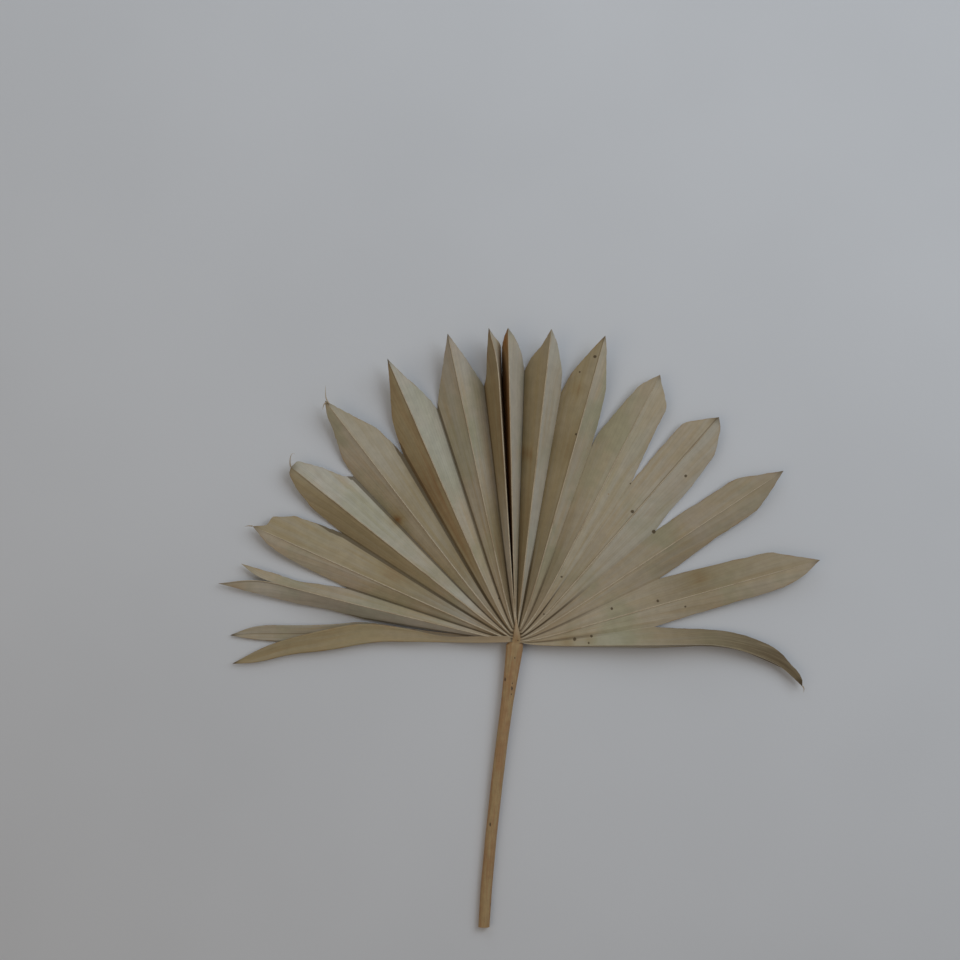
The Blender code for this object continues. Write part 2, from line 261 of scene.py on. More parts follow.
SEGMENTS = (
    Segment(
        tip=(-194.0, 34.5), tip_height=5.0,
        left_edge=((-122.5, 17.5), (-143.5, 21.5), (-163.5, 26.5)),
        right_edge=((-129.0, 34.0), (-143.0, 36.0), (-155.5, 40.5)),
        left=Face(Tint.BLEACHED, Tint.BLEACHED), right=Face(Tint.TAN, Tint.PLAIN),
        midrib=((-138.0, 30.0),), fork=(-167.5, 37.6), second_tip=(-179.0, 47.5),
    ),
    Segment(
        tip=(-171.0, 72.0), tip_height=8.0,
        left_edge=((-135.5, 44.0), (-153.0, 53.5), (-162.5, 61.0)),
        right_edge=((-129.5, 73.5), (-143.5, 78.5), (-159.0, 78.0), (-161.6, 72.6)),
        left=Face(Tint.TAN, Tint.PALE, PaintedShade.DIM, PaintedShade.NONE),
        right=Face(Tint.OCHRE, Tint.OCHRE, PaintedShade.DEEP, PaintedShade.SOFT), cut=1.0,
    ),
    Segment(
        tip=(-146.0, 110.5), tip_height=10.0,
        left_edge=((-132.5, 83.5), (-142.5, 96.0), (-147.5, 106.0)),
        right_edge=((-112.5, 104.5), (-127.0, 110.5), (-142.0, 114.5)),
        left=Face(Tint.OCHRE, Tint.OCHRE, PaintedShade.NONE, PaintedShade.SOFT),
        right=Face(Tint.TAN, Tint.PALE, PaintedShade.SOFT, PaintedShade.NONE), cut=0.8,
    ),
    Segment(
        tip=(-123.5, 153.5), tip_height=14.0,
        left_edge=((-112.5, 114.5), (-118.0, 132.5), (-123.0, 145.5)),
        right_edge=((-79.0, 125.0), (-90.5, 136.0), (-112.5, 147.5)),
        left=Face(Tint.OCHRE, Tint.PALE), right=Face(Tint.BROWN, Tint.TAN, PaintedShade.DEEP, PaintedShade.SOFT),
    ),
    Segment(
        tip=(-83.0, 180.5), tip_height=17.0,
        left_edge=((-78.5, 134.0), (-80.5, 142.5), (-82.0, 169.0)),
        right_edge=((-55.0, 153.5), (-61.5, 160.5), (-71.5, 169.0)),
        left=Face(Tint.BROWN, Tint.BROWN, PaintedShade.SOFT, PaintedShade.SOFT),
        right=Face(Tint.TAN, Tint.BLEACHED),
    ),
    Segment(
        tip=(-44.0, 196.5), tip_height=20.0, left_edge=((-50.0, 159.5), (-47.0, 177.5)),
        right_edge=((-24.0, 169.0), (-35.0, 185.0)),
        left=Face(Tint.TAN, Tint.PLAIN, PaintedShade.NONE, PaintedShade.SOFT),
        right=Face(Tint.BROWN, Tint.PALE, PaintedShade.DEEP, PaintedShade.NONE),
    ),
    Segment(
        tip=(-17.5, 200.0), tip_height=24.0, left_edge=((-19.0, 169.0), (-18.6, 185.0)),
        right_edge=((-9.6, 190.5), (-13.5, 194.0)),
        left=Face(Tint.BLEACHED, Tint.BROWN, PaintedShade.NONE, PaintedShade.DIM),
        right=Face(Tint.RUST, Tint.PLAIN, PaintedShade.GLOOM, PaintedShade.NONE),
        midrib=((-10.8, 166.0), (-12.4, 181.3)),
    ),
    Segment(
        tip=(-5.0, 200.0), tip_height=24.0, left_edge=((-8.9, 189.5), (-6.6, 197.0)),
        right_edge=((4.0, 185.0), (0.0, 193.5)),
        left=Face(Tint.RUST, Tint.RUST, PaintedShade.GLOOM, PaintedShade.NONE),
        right=Face(Tint.PALE, Tint.BLEACHED),
    ),
    Segment(
        tip=(23.0, 199.5), tip_height=21.0, left_edge=((10.5, 182.5), (16.5, 188.5)),
        right_edge=((30.5, 173.5), (27.0, 191.0)),
        left=Face(Tint.BROWN, Tint.OCHRE, PaintedShade.DEEP, PaintedShade.SOFT),
        right=Face(Tint.PALE, Tint.PLAIN),
    ),
    Segment(
        tip=(58.0, 195.5), tip_height=17.0, left_edge=((36.5, 172.0), (50.5, 188.0)),
        right_edge=((54.5, 140.5), (59.0, 161.0), (59.0, 188.5)),
        left=Face(Tint.OCHRE, Tint.OCHRE, PaintedShade.DEEP, PaintedShade.SOFT),
        right=Face(Tint.PLAIN, Tint.PALE),
    ),
    Segment(
        tip=(94.0, 170.5), tip_height=10.0, left_edge=((54.5, 133.5), (81.0, 164.0)),
        right_edge=((90.5, 132.0), (99.0, 149.5)),
        left=Face(Tint.TAN, Tint.PLAIN, PaintedShade.DEEP, PaintedShade.SOFT), right=Face(Tint.TAN, Tint.TAN),
    ),
    Segment(
        tip=(132.5, 143.0), tip_height=8.0, left_edge=((100.0, 129.0), (110.0, 140.0)),
        right_edge=((98.5, 78.5), (116.0, 99.0), (130.0, 118.0), (134.0, 136.0)),
        left=Face(Tint.TAN, Tint.PLAIN, PaintedShade.DIM, PaintedShade.SOFT),
        right=Face(Tint.TAN, Tint.PLAIN, PaintedShade.SOFT, PaintedShade.SOFT),
    ),
    Segment(
        tip=(174.5, 108.0), tip_height=8.0,
        left_edge=((109.5, 81.0), (125.5, 91.0), (143.5, 103.0)),
        right_edge=((108.0, 47.0), (131.5, 64.5), (157.0, 81.5), (165.0, 92.5)),
        left=Face(Tint.PLAIN, Tint.PLAIN, PaintedShade.DIM, PaintedShade.DIM),
        right=Face(Tint.PLAIN, Tint.PLAIN, PaintedShade.NONE, PaintedShade.DIM),
    ),
    Segment(
        tip=(198.0, 50.0), tip_height=10.0,
        left_edge=((125.5, 45.5), (147.5, 51.0), (166.5, 55.0)),
        right_edge=((116.0, 14.0), (147.5, 23.5), (175.0, 32.0), (187.0, 39.0)),
        left=Face(Tint.PLAIN, Tint.TAN, PaintedShade.SOFT, PaintedShade.DIM),
        right=Face(Tint.PLAIN, Tint.PLAIN, PaintedShade.NONE, PaintedShade.SOFT),
    ),
    Segment(
        tip=(187.0, -32.5), tip_height=7.0,
        left_edge=(
            (112.0, 4.8), (125.5, 4.6), (141.0, 2.7), (149.5, 0.8), (157.5, -2.0), (166.5, -6.0),
            (174.0, -11.0), (179.4, -17.6), (185.0, -24.0), (187.4, -28.0),
        ),
        right_edge=((128.5, -6.0), (147.5, -9.0), (163.0, -15.5), (176.0, -21.5), (184.5, -27.5)),
        left=Face(Tint.PALE, Tint.TAN, PaintedShade.NONE, PaintedShade.DEEP),
        right=Face(Tint.TAN, Tint.TAN, PaintedShade.NONE, PaintedShade.DEEP),
        midrib=((110.0, -4.6), (128.0, -4.6), (144.0, -7.6), (160.0, -13.2), (173.5, -19.3)),
        cut=6.0, rib_width=0.3,
    ),
)

# Where the blade is made browner, paler and darker: place, radius, how much browner and how much
# darker. The wide darkenings at (150, -8) and (180, -22) are partly painted shade where the last
# segment turns from the light, and the paling at (-30, 19) is partly painted light near the hub.
STAINS_AND_PAINTED_LIGHT = (
    ((-186.0, 34.0), 12.0, 0.2, 0.2), ((-30.0, 19.0), 17.0, -0.6, -0.12),
    ((150.0, -8.0), 28.0, 0.22, 0.3), ((-68.0, 92.0), 20.0, 0.2, 0.12),
    ((32.0, 122.0), 11.0, 0.1, 0.15), ((180.0, -22.0), 24.0, 0.2, 0.4),
    ((62.0, -1.0), 18.0, -0.1, 0.0), ((113.0, 36.0), 22.0, 0.05, 0.12),
    ((33.2, -3.6), 4.5, 0.6, 0.12), ((48.0, -2.0), 3.0, 0.4, 0.1), ((-77.0, 76.5), 4.5, 0.8, 0.12),
    ((6.8, 119.0), 5.0, 0.35, 0.06), ((41.0, 161.0), 5.0, 0.2, 0.0),
    ((110.0, 63.0), 7.0, 0.22, 0.0), ((-80.0, 40.0), 9.0, 0.15, 0.0),
    ((165.0, 95.0), 14.0, 0.12, 0.05), ((120.0, 39.0), 7.0, 0.35, 0.06),
    ((-8.0, 195.0), 9.0, 0.2, 0.0), ((-30.0, 176.0), 10.0, -0.2, 0.0),
    ((-150.0, -10.0), 45.0, 0.1, 0.18),
)

# Single dark spots on the blade: place and radius
SPOTS = (
    ((93.0, 23.0), 1.8), ((62.9, 18.2), 1.04), ((38.7, -1.6), 1.3), ((49.6, 0.1), 1.04),
    ((47.6, -3.9), 1.17), ((30.2, 39.0), 0.98), ((18.6, 14.6), 0.98), ((-10.6, 24.8), 1.04),
    ((111.1, 104.7), 1.04), ((39.1, 131.7), 1.17), ((51.5, 182.0), 1.23), ((41.9, 172.3), 0.91),
    ((111.0, 19.5), 0.91), ((76.5, 81.5), 1.43), ((90.6, 68.2), 1.5), ((75.3, 99.7), 1.1),
)

# Scars and specks on the stalk: place and half the length
SCARS = (
    ((-0.4, -13.7), 1.3), ((-2.0, -30.2), 0.8), ((-2.3, -33.8), 1.6), ((-2.7, -37.5), 0.8),
    ((1.6, -2.4), 1.0),
)

RIBBONS = (
    Ribbon(
        name="front_strip",
        upper_edge=(
            (-3.2, 0.5, 8.6), (-20.0, 0.5, 8.8), (-47.0, -0.5, 8.4), (-66.0, 4.5, 8.2),
            (-98.5, 9.5, 8.0), (-122.5, 5.0, 7.2), (-149.0, -1.5, 6.0), (-166.0, -7.5, 5.0),
        ),
        lower_edge=(
            (-3.2, -3.4, 8.2), (-20.5, -4.2, 7.6), (-47.0, -3.8, 6.6), (-66.0, -3.6, 6.2),
            (-91.5, -3.2, 6.2), (-122.5, -9.5, 5.6), (-146.5, -11.5, 5.0), (-168.5, -17.5, 4.2),
        ),
        tip=(-185.0, -18.0, 4.0), tint=Tint.OCHRE,
    ),
    Ribbon(
        name="back_strip",
        upper_edge=(
            (-4.0, -0.5, 6.4), (-40.0, 1.5, 4.4), (-70.0, 5.0, 3.2), (-98.5, 9.8, 2.6),
            (-119.5, 7.6, 2.6), (-142.5, 7.0, 2.8), (-169.5, 7.5, 3.2),
        ),
        lower_edge=(
            (-4.0, -3.2, 6.0), (-40.0, -2.6, 3.8), (-70.0, -0.5, 2.4), (-98.5, 1.0, 1.8),
            (-119.5, -1.5, 1.6), (-145.0, -4.0, 1.6), (-168.0, -3.0, 2.0),
        ),
        tip=(-186.5, 0.5, 2.6), tint=Tint.PLAIN,
    ),
)

# How far along, the middle across, the middle's height, half the width, half the depth
STALK_STATIONS = (
    (-190.0, -20.5, 3.1, 3.7, 3.4),
    (-165.0, -19.0, 3.1, 3.8, 3.4),
    (-130.0, -15.8, 3.2, 3.8, 3.5),
    (-95.0, -12.0, 4.0, 3.9, 3.4),
    (-65.0, -8.3, 4.8, 3.9, 3.3),
    (-42.0, -5.2, 5.4, 4.1, 3.2),
    (-22.0, -2.4, 6.0, 4.9, 3.0),
    (-9.0, -0.7, 6.5, 5.5, 2.8),
    (-5.4, -0.5, 6.6, 5.6, 2.7),
    (-3.4, 0.1, 6.6, 4.6, 2.4),
    (-1.6, 0.8, 7.1, 3.0, 2.5),
    (2.5, 0.8, 7.9, 2.1, 2.3),
    (6.1, 0.6, 8.6, 1.3, 1.8),
    (10.0, 0.45, 9.2, 0.7, 1.1),
    (13.5, 0.4, 9.5, 0.25, 0.5),
)


def hub_in_frame() -> Vector:
    """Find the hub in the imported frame.

    Returns:
        The hub's place in metres, from the blade's leftmost and furthest tips.
    """
    low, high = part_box("leaf_fan")
    leftmost = min(segment.tip[0] for segment in SEGMENTS)
    furthest = max(segment.tip[1] for segment in SEGMENTS)
    return Vector((low.x - leftmost * MM, high.y - furthest * MM, 0.0))


def finished_piece(name: str, bm: bmesh.types.BMesh, hub: Vector, material: bpy.types.Material,
                   replaced: str = "") -> bpy.types.Object:
    """Turn an edit mesh in millimetres from the hub into a piece that rides on the leaf.

    Args:
        name: the piece's name.
        bm: the mesh, freed here.
        hub: the hub in the frame, in metres.
        material: the piece's finish.
        replaced: the CAD node that the piece stands for, if any.

    Returns:
        The new object.
    """
    bmesh.ops.scale(bm, vec=Vector((MM, MM, MM)), verts=bm.verts)
    bmesh.ops.translate(bm, vec=hub, verts=bm.verts)
    mesh = bpy.data.meshes.new(name)
    bm.to_mesh(mesh)
    bm.free()
    mesh.materials.append(material)
    piece = bpy.data.objects.new(name, mesh)
    bpy.context.scene.collection.objects.link(piece)
    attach(piece, "root")
    if replaced:
        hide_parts(replaced)
    LOG.info("%s: %d faces", name, len(mesh.polygons))
    return piece


def smooth_shell(bm: bmesh.types.BMesh) -> None:
    """Close a mesh's open ends, shade it smoothly and turn its faces outwards.

    Args:
        bm: the mesh.
    """
    bmesh.ops.holes_fill(bm, edges=[edge for edge in bm.edges if edge.is_boundary], sides=0)
    for face in bm.faces:
        face.smooth = True
    bmesh.ops.recalc_face_normals(bm, faces=bm.faces)


def dress_corners(bm: bmesh.types.BMesh, looks: Looks) -> None:
    """Write each corner's place among the veins, and its rims, browning and painted light and
    shade.

    Args:
        bm: the mesh, with a sheet's layers.
        looks: the place of each vertex, and its rims, browning and painted light and shade.
    """
    pleat = bm.loops.layers.uv["pleat"]
    wear_and_painted_light = bm.loops.layers.float_color["wear_and_painted_light"]
    for face in {face for vert in looks for face in vert.link_faces}:
        for loop in face.loops:
            loop[pleat].uv, loop[wear_and_painted_light] = looks[loop.vert]


class Graph:
    """A material's node tree, with one short method for each kind of step."""

    def __init__(self, name: str) -> None:
        """Start a material.

        Args:
            name: the material's name.
        """
        self.material = bpy.data.materials.new(name)
        self.material.use_nodes = True
        self.tree = self.material.node_tree
        self.shader = self.tree.nodes["Principled BSDF"]

    def feed(self, node: bpy.types.Node, inputs: dict[int | str, object]) -> None:
        """Link or set a node's inputs.

        Args:
            node: the node.
            inputs: for each input, an output to link or a plain value.
        """
        for key, value in inputs.items():
            if isinstance(value, Socket):
                self.tree.links.new(value, node.inputs[key])
            else:
                node.inputs[key].default_value = value

    def node(self, kind: str, inputs: dict[int | str, object] | None = None,
             **settings: object) -> bpy.types.Node:
        """Add a node.

        Args:
            kind: its type name.
            inputs: what its inputs get.
            **settings: values for its properties.

        Returns:
            The node.
        """
        made = self.tree.nodes.new(kind)
        for key, value in settings.items():
            setattr(made, key, value)
        self.feed(made, inputs or {})
        return made

    def math(self, operation: str, first: object, second: object = 0.0,
             clamp: bool = False) -> Socket:
        """Add a calculation, held between 0 and 1 if asked."""
        inputs = {0: first, 1: second}
        return self.node("ShaderNodeMath", inputs, operation=operation, use_clamp=clamp).outputs[0]

    def times(self, first: object, second: object) -> Socket:
        """Multiply two values."""
        return self.math("MULTIPLY", first, second)

    def spread(self, value: object, low: object, high: object, to_low: object = 0.0,
               to_high: object = 1.0) -> Socket:
        """Map the range from low to high smoothly onto another."""
        inputs = dict(enumerate((value, low, high, to_low, to_high)))
        return self.node("ShaderNodeMapRange", inputs, interpolation_type="SMOOTHSTEP").outputs[0]

    def mix(self, share: object, first: object, second: object, blend: str = "MIX") -> Socket:
        """Mix two colours, with that share of the second."""
        inputs = {0: share, 6: first, 7: second}
        return self.node("ShaderNodeMix", inputs, data_type="RGBA", blend_type=blend).outputs[2]

    def tone(self, colour: object, shade: object) -> Socket:
        """Make a colour lighter or darker."""
        return self.mix(1.0, colour, self.vector(shade, shade, shade), "MULTIPLY")

    def layers(self, colour: object, *layers: tuple[object, object]) -> object:
        """Lay colours over one another.

        Args:
            colour: the lowest colour.
            *layers: each further one's share and colour.

        Returns:
            The colour that comes out.
        """
        for share, layer in layers:
            colour = self.mix(share, colour, layer)
        return colour

    def vector(self, x: object, y: object, z: object = 0.0) -> Socket:
        """Put three numbers together."""
        return self.node("ShaderNodeCombineXYZ", {0: x, 1: y, 2: z}).outputs[0]

    def split(self, vector: Socket) -> tuple[Socket, ...]:
        """Take a vector apart into its three numbers."""
        return tuple(self.node("ShaderNodeSeparateXYZ", {0: vector}).outputs)

    def noise(self, place: object, scale: float, detail: float = 3.0,
              roughness: float = 0.55) -> Socket:
        """Add soft noise from 0 to 1, of this scale, with this many octaves."""
        inputs = {"Vector": place, "Scale": scale, "Detail": detail, "Roughness": roughness}
        return self.node("ShaderNodeTexNoise", inputs).outputs[0]

    def object_place(self) -> Socket:
        """Read the piece's own coordinates, in metres."""
        return self.node("ShaderNodeTexCoord").outputs["Object"]

    def specks(self, place: Socket, scale: float, size: tuple[float, float], channel: int,
               rarity: float, strength: float) -> Socket:
        """Scatter specks.

        Args:
            place: the coordinates.
            scale: how closely they may lie.
            size: where a speck starts to fade and where it ends, as shares of its cell.
            channel: which random number of a cell decides whether it has one.
            rarity: the number from which it has one.
            strength: how strong they are.

        Returns:
            Their share, from 0 to 1.
        """
        cells = self.node("ShaderNodeTexVoronoi", {"Vector": place, "Scale": scale})
        near = self.spread(cells.outputs["Distance"], *size, 1.0, 0.0)
        chosen = self.math("GREATER_THAN", self.split(cells.outputs["Color"])[channel], rarity)
        return self.times(self.times(near, chosen), strength)

    def spots(self, place: Socket, hub: Vector, spots: Sequence[tuple[Point, float]],
              ragged: Socket, stretch: float = 1.0) -> object:
        """Set single spots, seen from above.

        Args:
            place: the piece's own coordinates.
            hub: the hub in the frame, in metres.
            spots: each spot's place from the hub and its radius, in millimetres.
            ragged: noise that makes their outlines uneven.
            stretch: how many times longer than wide they are.

        Returns:
            The spots' share, from 0 to 1.
        """
        total: object = 0.0
        x, y, _ = self.split(place)
        for (spot_x, spot_y), radius in spots:
            aside = self.math("SUBTRACT", x, hub.x + spot_x * MM)
            along = self.math("SUBTRACT", y, hub.y + spot_y * MM)
            offset = self.node("ShaderNodeVectorMath",
                               {0: self.vector(self.times(aside, stretch), along)},
                               operation="LENGTH")
            size = self.times(self.spread(ragged, 0.3, 0.7, 0.55, 1.3), radius * MM)
            near = self.math("DIVIDE", offset.outputs["Value"], size)
            total = self.math("MAXIMUM", total, self.spread(near, 0.55, 1.0, 0.9, 0.0))
        return total

    def finish(self, colour: object, roughness: object, height: Socket, strength: float,
               depth: float) -> bpy.types.Material:
        """Give the shader its colour, its roughness and a bump.

        Args:
            colour: the colour.
            roughness: the roughness.
            height: the bump's height.
            strength: the bump's strength.
            depth: the bump's depth in metres.

        Returns:
            The material.
        """
        bump = self.node("ShaderNodeBump",
                         {"Strength": strength, "Distance": depth, "Height": height})
        self.feed(self.shader, {"Base Color": colour, "Roughness": roughness,
                                "Normal": bump.outputs[0]})
        return self.material


@dataclass(frozen=True)
class BladeFinish:
    """The dried blade: grey-beige and olive, streaked along the veins, brown at edges and tips,
    with painted shade in its creases, beside some midribs and on faces turned from the light.

    Attributes:
        hub: the hub in the frame, in metres.
        beige: the main colour.
        olive: the greener colour of some patches.
        straw: the warmer colour of some streaks.
        rose: the pinker colour of other patches.
        bleached_and_lit: the palest patches, and the painted light on faces set paler.
        ochre: the colour of a face that has browned halfway, and of painted shade on halves turned
            from the light.
        rust: the colour of a browned face, and partly of painted shade in the deepest valleys.
        base: the colour where the pleats meet.
        dark: the colour of the painted shade in the creases, beside some midribs and on darkened
            faces, and of the tips and the spots.
        roughness: the surface's roughness.
        veins: vein pairs across half a segment.
    """

    hub: Vector
    beige: Colour = (0.51, 0.44, 0.325, 1.0)
    olive: Colour = (0.43, 0.395, 0.26, 1.0)
    straw: Colour = (0.51, 0.41, 0.275, 1.0)
    rose: Colour = (0.52, 0.435, 0.335, 1.0)
    bleached_and_lit: Colour = (0.60, 0.585, 0.52, 1.0)
    ochre: Colour = (0.44, 0.345, 0.19, 1.0)
    rust: Colour = (0.31, 0.138, 0.038, 1.0)
    base: Colour = (0.435, 0.325, 0.20, 1.0)
    dark: Colour = (0.085, 0.056, 0.024, 1.0)
    roughness: float = 0.6
    veins: float = 9.0

    def material(self) -> bpy.types.Material:
        """Build the finish.

        Returns:
            The material.
        """
        graph = Graph("dry_blade")
        times, spread = graph.times, graph.spread
        pleat = graph.node("ShaderNodeUVMap", uv_map="pleat").outputs[0]
        across, out = graph.split(pleat)[:2]
        wear_and_painted_light = graph.node("ShaderNodeAttribute", attribute_name="wear_and_painted_light")
        # Its channels: brown rims; darkening of tips and stains with painted shade; browning with
        # painted light and shade; the half's own number.
        edge, tip, tint = graph.split(wear_and_painted_light.outputs["Vector"])
        own = wear_and_painted_light.outputs["Alpha"]
        place = graph.object_place()
        streak = graph.noise(
            graph.vector(times(across, 2.6), times(out, 2.2), times(own, 40.0)), 1.6, 4.0)
        fibre = graph.noise(graph.vector(times(across, 30.0), times(out, 6.0), own), 1.0, 4.0, 0.6)
        patch = graph.noise(place, 24.0, 3.0)
        mottle = graph.noise(place, 170.0, 3.0, 0.6)

        # The faces' browning, with their painted light and shade, streaked.
        dried = times(tint, times(spread(streak, 0.25, 0.7, 1.2, 0.75), 2.0))
        warm = times(spread(out, 0.02, 0.36, 1.0, 0.0), spread(streak, 0.3, 0.65, 1.0, 0.55))
        colour = graph.layers(
            self.straw,
            (spread(streak, 0.36, 0.6), self.beige),
            (spread(patch, 0.46, 0.64), self.olive),
            (spread(patch, 0.46, 0.3, 0.0, 0.8), self.rose),
            (spread(graph.math("ADD", streak, own), 0.9, 1.5, 0.0, 0.5), self.bleached_and_lit),
            (graph.math("MULTIPLY", dried, -1.0, True), self.bleached_and_lit),
            (graph.math("MULTIPLY", dried, 1.0, True), self.ochre),
            (graph.math("SUBTRACT", dried, 1.0, True), self.rust),
            (warm, self.base))

        turns = graph.math("ADD", times(across, self.veins * math.tau), times(fibre, 2.4))
        vein = spread(graph.math("SINE", turns), 0.35, 1.0)
        shade = times(spread(fibre, 0.3, 0.7, 0.95, 1.04), spread(mottle, 0.3, 0.7, 0.95, 1.05))
        colour = graph.tone(colour, times(shade, spread(vein, 0.0, 1.0, 1.0, 0.96)))
        browned = spread(fibre, 0.25, 0.6, 0.6, 1.0)
        # Painted shade as dark lines in the valleys and beside some midribs; the tip channel
        # darkens the tips and stains, and adds the faces' painted shade.
        colour = graph.layers(
            colour,
            (self._crease_shade(graph, across, out, own, place), self.dark),
            (self._rib_shadow(graph, across, out, own), self.dark),
            (times(edge, spread(mottle, 0.4, 0.7, 0.0, 0.6)), self.rust),
            (graph.math("MULTIPLY", tip, browned, True), self.dark),
            (graph.specks(place, 85.0, (0.025, 0.06), 0, 0.86, 0.6), self.rust),
            (graph.spots(place, self.hub, SPOTS, mottle), self.dark))
        rough = spread(fibre, 0.2, 0.8, self.roughness - 0.08, self.roughness + 0.1)
        graph.feed(graph.shader, {"Specular IOR Level": 0.3})
        return graph.finish(colour, rough, graph.math("ADD", times(vein, 0.6), fibre), 0.22, 0.0003)

    def _crease_shade(self, graph: Graph, across: Socket, out: Socket, own: Socket,
                place: Socket) -> Socket:
        """Paint shade as a dark line in a valley, weaker outwards and to the right of the hub.

        Args:
            graph: the material's tree.
            across: the place across half a segment, 0 at the midrib.
            out: the place outwards.
            own: the half's own random number.
            place: the piece's own coordinates.

        Returns:
            The line's share, from 0 to 1.
        """
        times, spread = graph.times, graph.spread
        aside, ahead, _ = graph.split(place)
        near = graph.math("DIVIDE", spread(own, 0.0, 1.0, 0.018, 0.042),
                          graph.math("ADD", out, 0.03))
        line = spread(graph.math("ABSOLUTE", across), graph.math("SUBTRACT", 1.0, near),
                      graph.math("SUBTRACT", 1.0, times(near, 0.4)))
        outer = spread(aside, self.hub.x - 0.02, self.hub.x + 0.02, 0.75, 0.08)
        right = spread(ahead, self.hub.y + 0.014, self.hub.y + 0.045, 0.85, 0.4)
        line = times(line, spread(out, 0.14, 0.36, 1.0, outer))
        line = times(line, spread(aside, self.hub.x + 0.014, self.hub.x + 0.03, 1.0, right))
        return times(line, spread(own, 0.1, 0.9, 0.5, 1.0))

    @staticmethod
    def _rib_shadow(graph: Graph, across: Socket, out: Socket, own: Socket) -> Socket:
        """Paint the thin shadow that runs on the left of some midribs.

        Args:
            graph: the material's tree.
            across: the place across half a segment, 0 at the midrib.
            out: the place outwards.
            own: the half's own random number.

        Returns:
            The line's share, from 0 to 1.
        """
        width = graph.math("DIVIDE", 0.04, graph.math("ADD", out, 0.1))
        beside = graph.math("DIVIDE", graph.times(across, -1.0), width)
        line = graph.times(graph.spread(beside, 0.0, 0.45), graph.spread(beside, 1.1, 0.7))
        return graph.times(line, graph.spread(own, 0.3, 0.6, 0.0, 0.5))


@dataclass(frozen=True)
class MidribFinish:
    """The midribs: paler than the blade, with thin brown stretches.

    Attributes:
        pale: the main colour.
        worn: the colour of the browner stretches.
        roughness: the surface's roughness.
    """

    pale: Colour = (0.54, 0.45, 0.31, 1.0)
    worn: Colour = (0.38, 0.27, 0.15, 1.0)
    roughness: float = 0.5

    def material(self) -> bpy.types.Material:
        """Build the finish.

        Returns:
            The material.
        """
        graph = Graph("dry_midrib")
        place = graph.object_place()
        long_patches = graph.noise(place, 45.0, 4.0, 0.6)
        fine = graph.noise(place, 700.0, 3.0, 0.6)
        colour = graph.mix(graph.spread(long_patches, 0.45, 0.72, 0.05, 0.8), self.pale, self.worn)
        colour = graph.tone(colour, graph.spread(fine, 0.3, 0.7, 0.9, 1.08))
        return graph.finish(colour, self.roughness, fine, 0.3, 0.0002)


@dataclass(frozen=True)
class StalkFinish:
    """The stalk: tan, striped lengthwise, with scars, specks and a pale, dotted cut end.

    Attributes:
        hub: the hub in the frame, in metres.
        tan: the main colour.
        stripe: the lighter olive stripe.
        rust: the reddish brown of the darker stripes.
        speck: the colour of specks and scars.
        pith: the colour of the cut end.
        roughness: the surface's roughness.
    """

    hub: Vector
    tan: Colour = (0.38, 0.215, 0.09, 1.0)
    stripe: Colour = (0.42, 0.285, 0.13, 1.0)
    rust: Colour = (0.29, 0.15, 0.075, 1.0)
    speck: Colour = (0.06, 0.032, 0.016, 1.0)
    pith: Colour = (0.54, 0.41, 0.25, 1.0)
    roughness: float = 0.5

    def material(self) -> bpy.types.Material:
        """Build the finish.

        Returns:
            The material.
        """
        graph = Graph("dry_stalk")
        times, spread = graph.times, graph.spread
        around, out, _ = graph.split(graph.node("ShaderNodeUVMap", uv_map="bark").outputs[0])
        place = graph.object_place()
        ring = times(around, math.tau)
        turn_x, turn_y = graph.math("COSINE", ring), graph.math("SINE", ring)
        broad = graph.noise(graph.vector(turn_x, turn_y, times(out, 0.7)), 1.5, 3.0)
        lines = graph.vector(times(turn_x, 9.0), times(turn_y, 9.0), out)
        line = graph.noise(lines, 1.3, 5.0, 0.65)
        mottle = graph.noise(place, 300.0, 4.0, 0.6)
        squeezed = graph.node("ShaderNodeMapping", {"Scale": (1.0, 0.45, 1.0), "Vector": place})
        colour = graph.layers(
            self.tan,
            (spread(broad, 0.42, 0.62), self.stripe),
            (spread(line, 0.5, 0.72, 0.0, 0.55), self.rust),
            (spread(line, 0.5, 0.3, 0.0, 0.3), self.pith))
        colour = graph.tone(colour, spread(mottle, 0.3, 0.7, 0.93, 1.06))
        point = spread(graph.split(place)[1], self.hub.y - 0.003, self.hub.y + 0.006, 0.0, 0.7)
        colour = graph.layers(
            colour,
            (point, self.pith),
            (graph.specks(squeezed.outputs[0], 210.0, (0.09, 0.17), 1, 0.8, 0.9), self.speck),
            (graph.spots(place, self.hub, SCARS, mottle, 1.7), self.speck))
        rough = spread(line, 0.2, 0.8, self.roughness - 0.08, self.roughness + 0.14)
        return graph.finish(colour, rough, line, 0.45, 0.0005)

    def cut_material(self) -> bpy.types.Material:
        """Build the cut end's finish: pale pith with the dark dots of its fibres.

        Returns:
            The material.
        """
        graph = Graph("stalk_cut")
        place = graph.object_place()
        dots = graph.node("ShaderNodeTexVoronoi", {"Vector": place, "Scale": 1500.0})
        dot = graph.spread(dots.outputs["Distance"], 0.18, 0.34, 1.0, 0.0)
        soft = graph.noise(place, 500.0, 3.0)
        colour = graph.mix(graph.spread(soft, 0.35, 0.65), self.pith, self.stripe)
        colour = graph.mix(graph.times(dot, 0.75), colour, self.rust)
        return graph.finish(colour, 0.85, graph.math("SUBTRACT", soft, dot), 0.5, 0.0004)


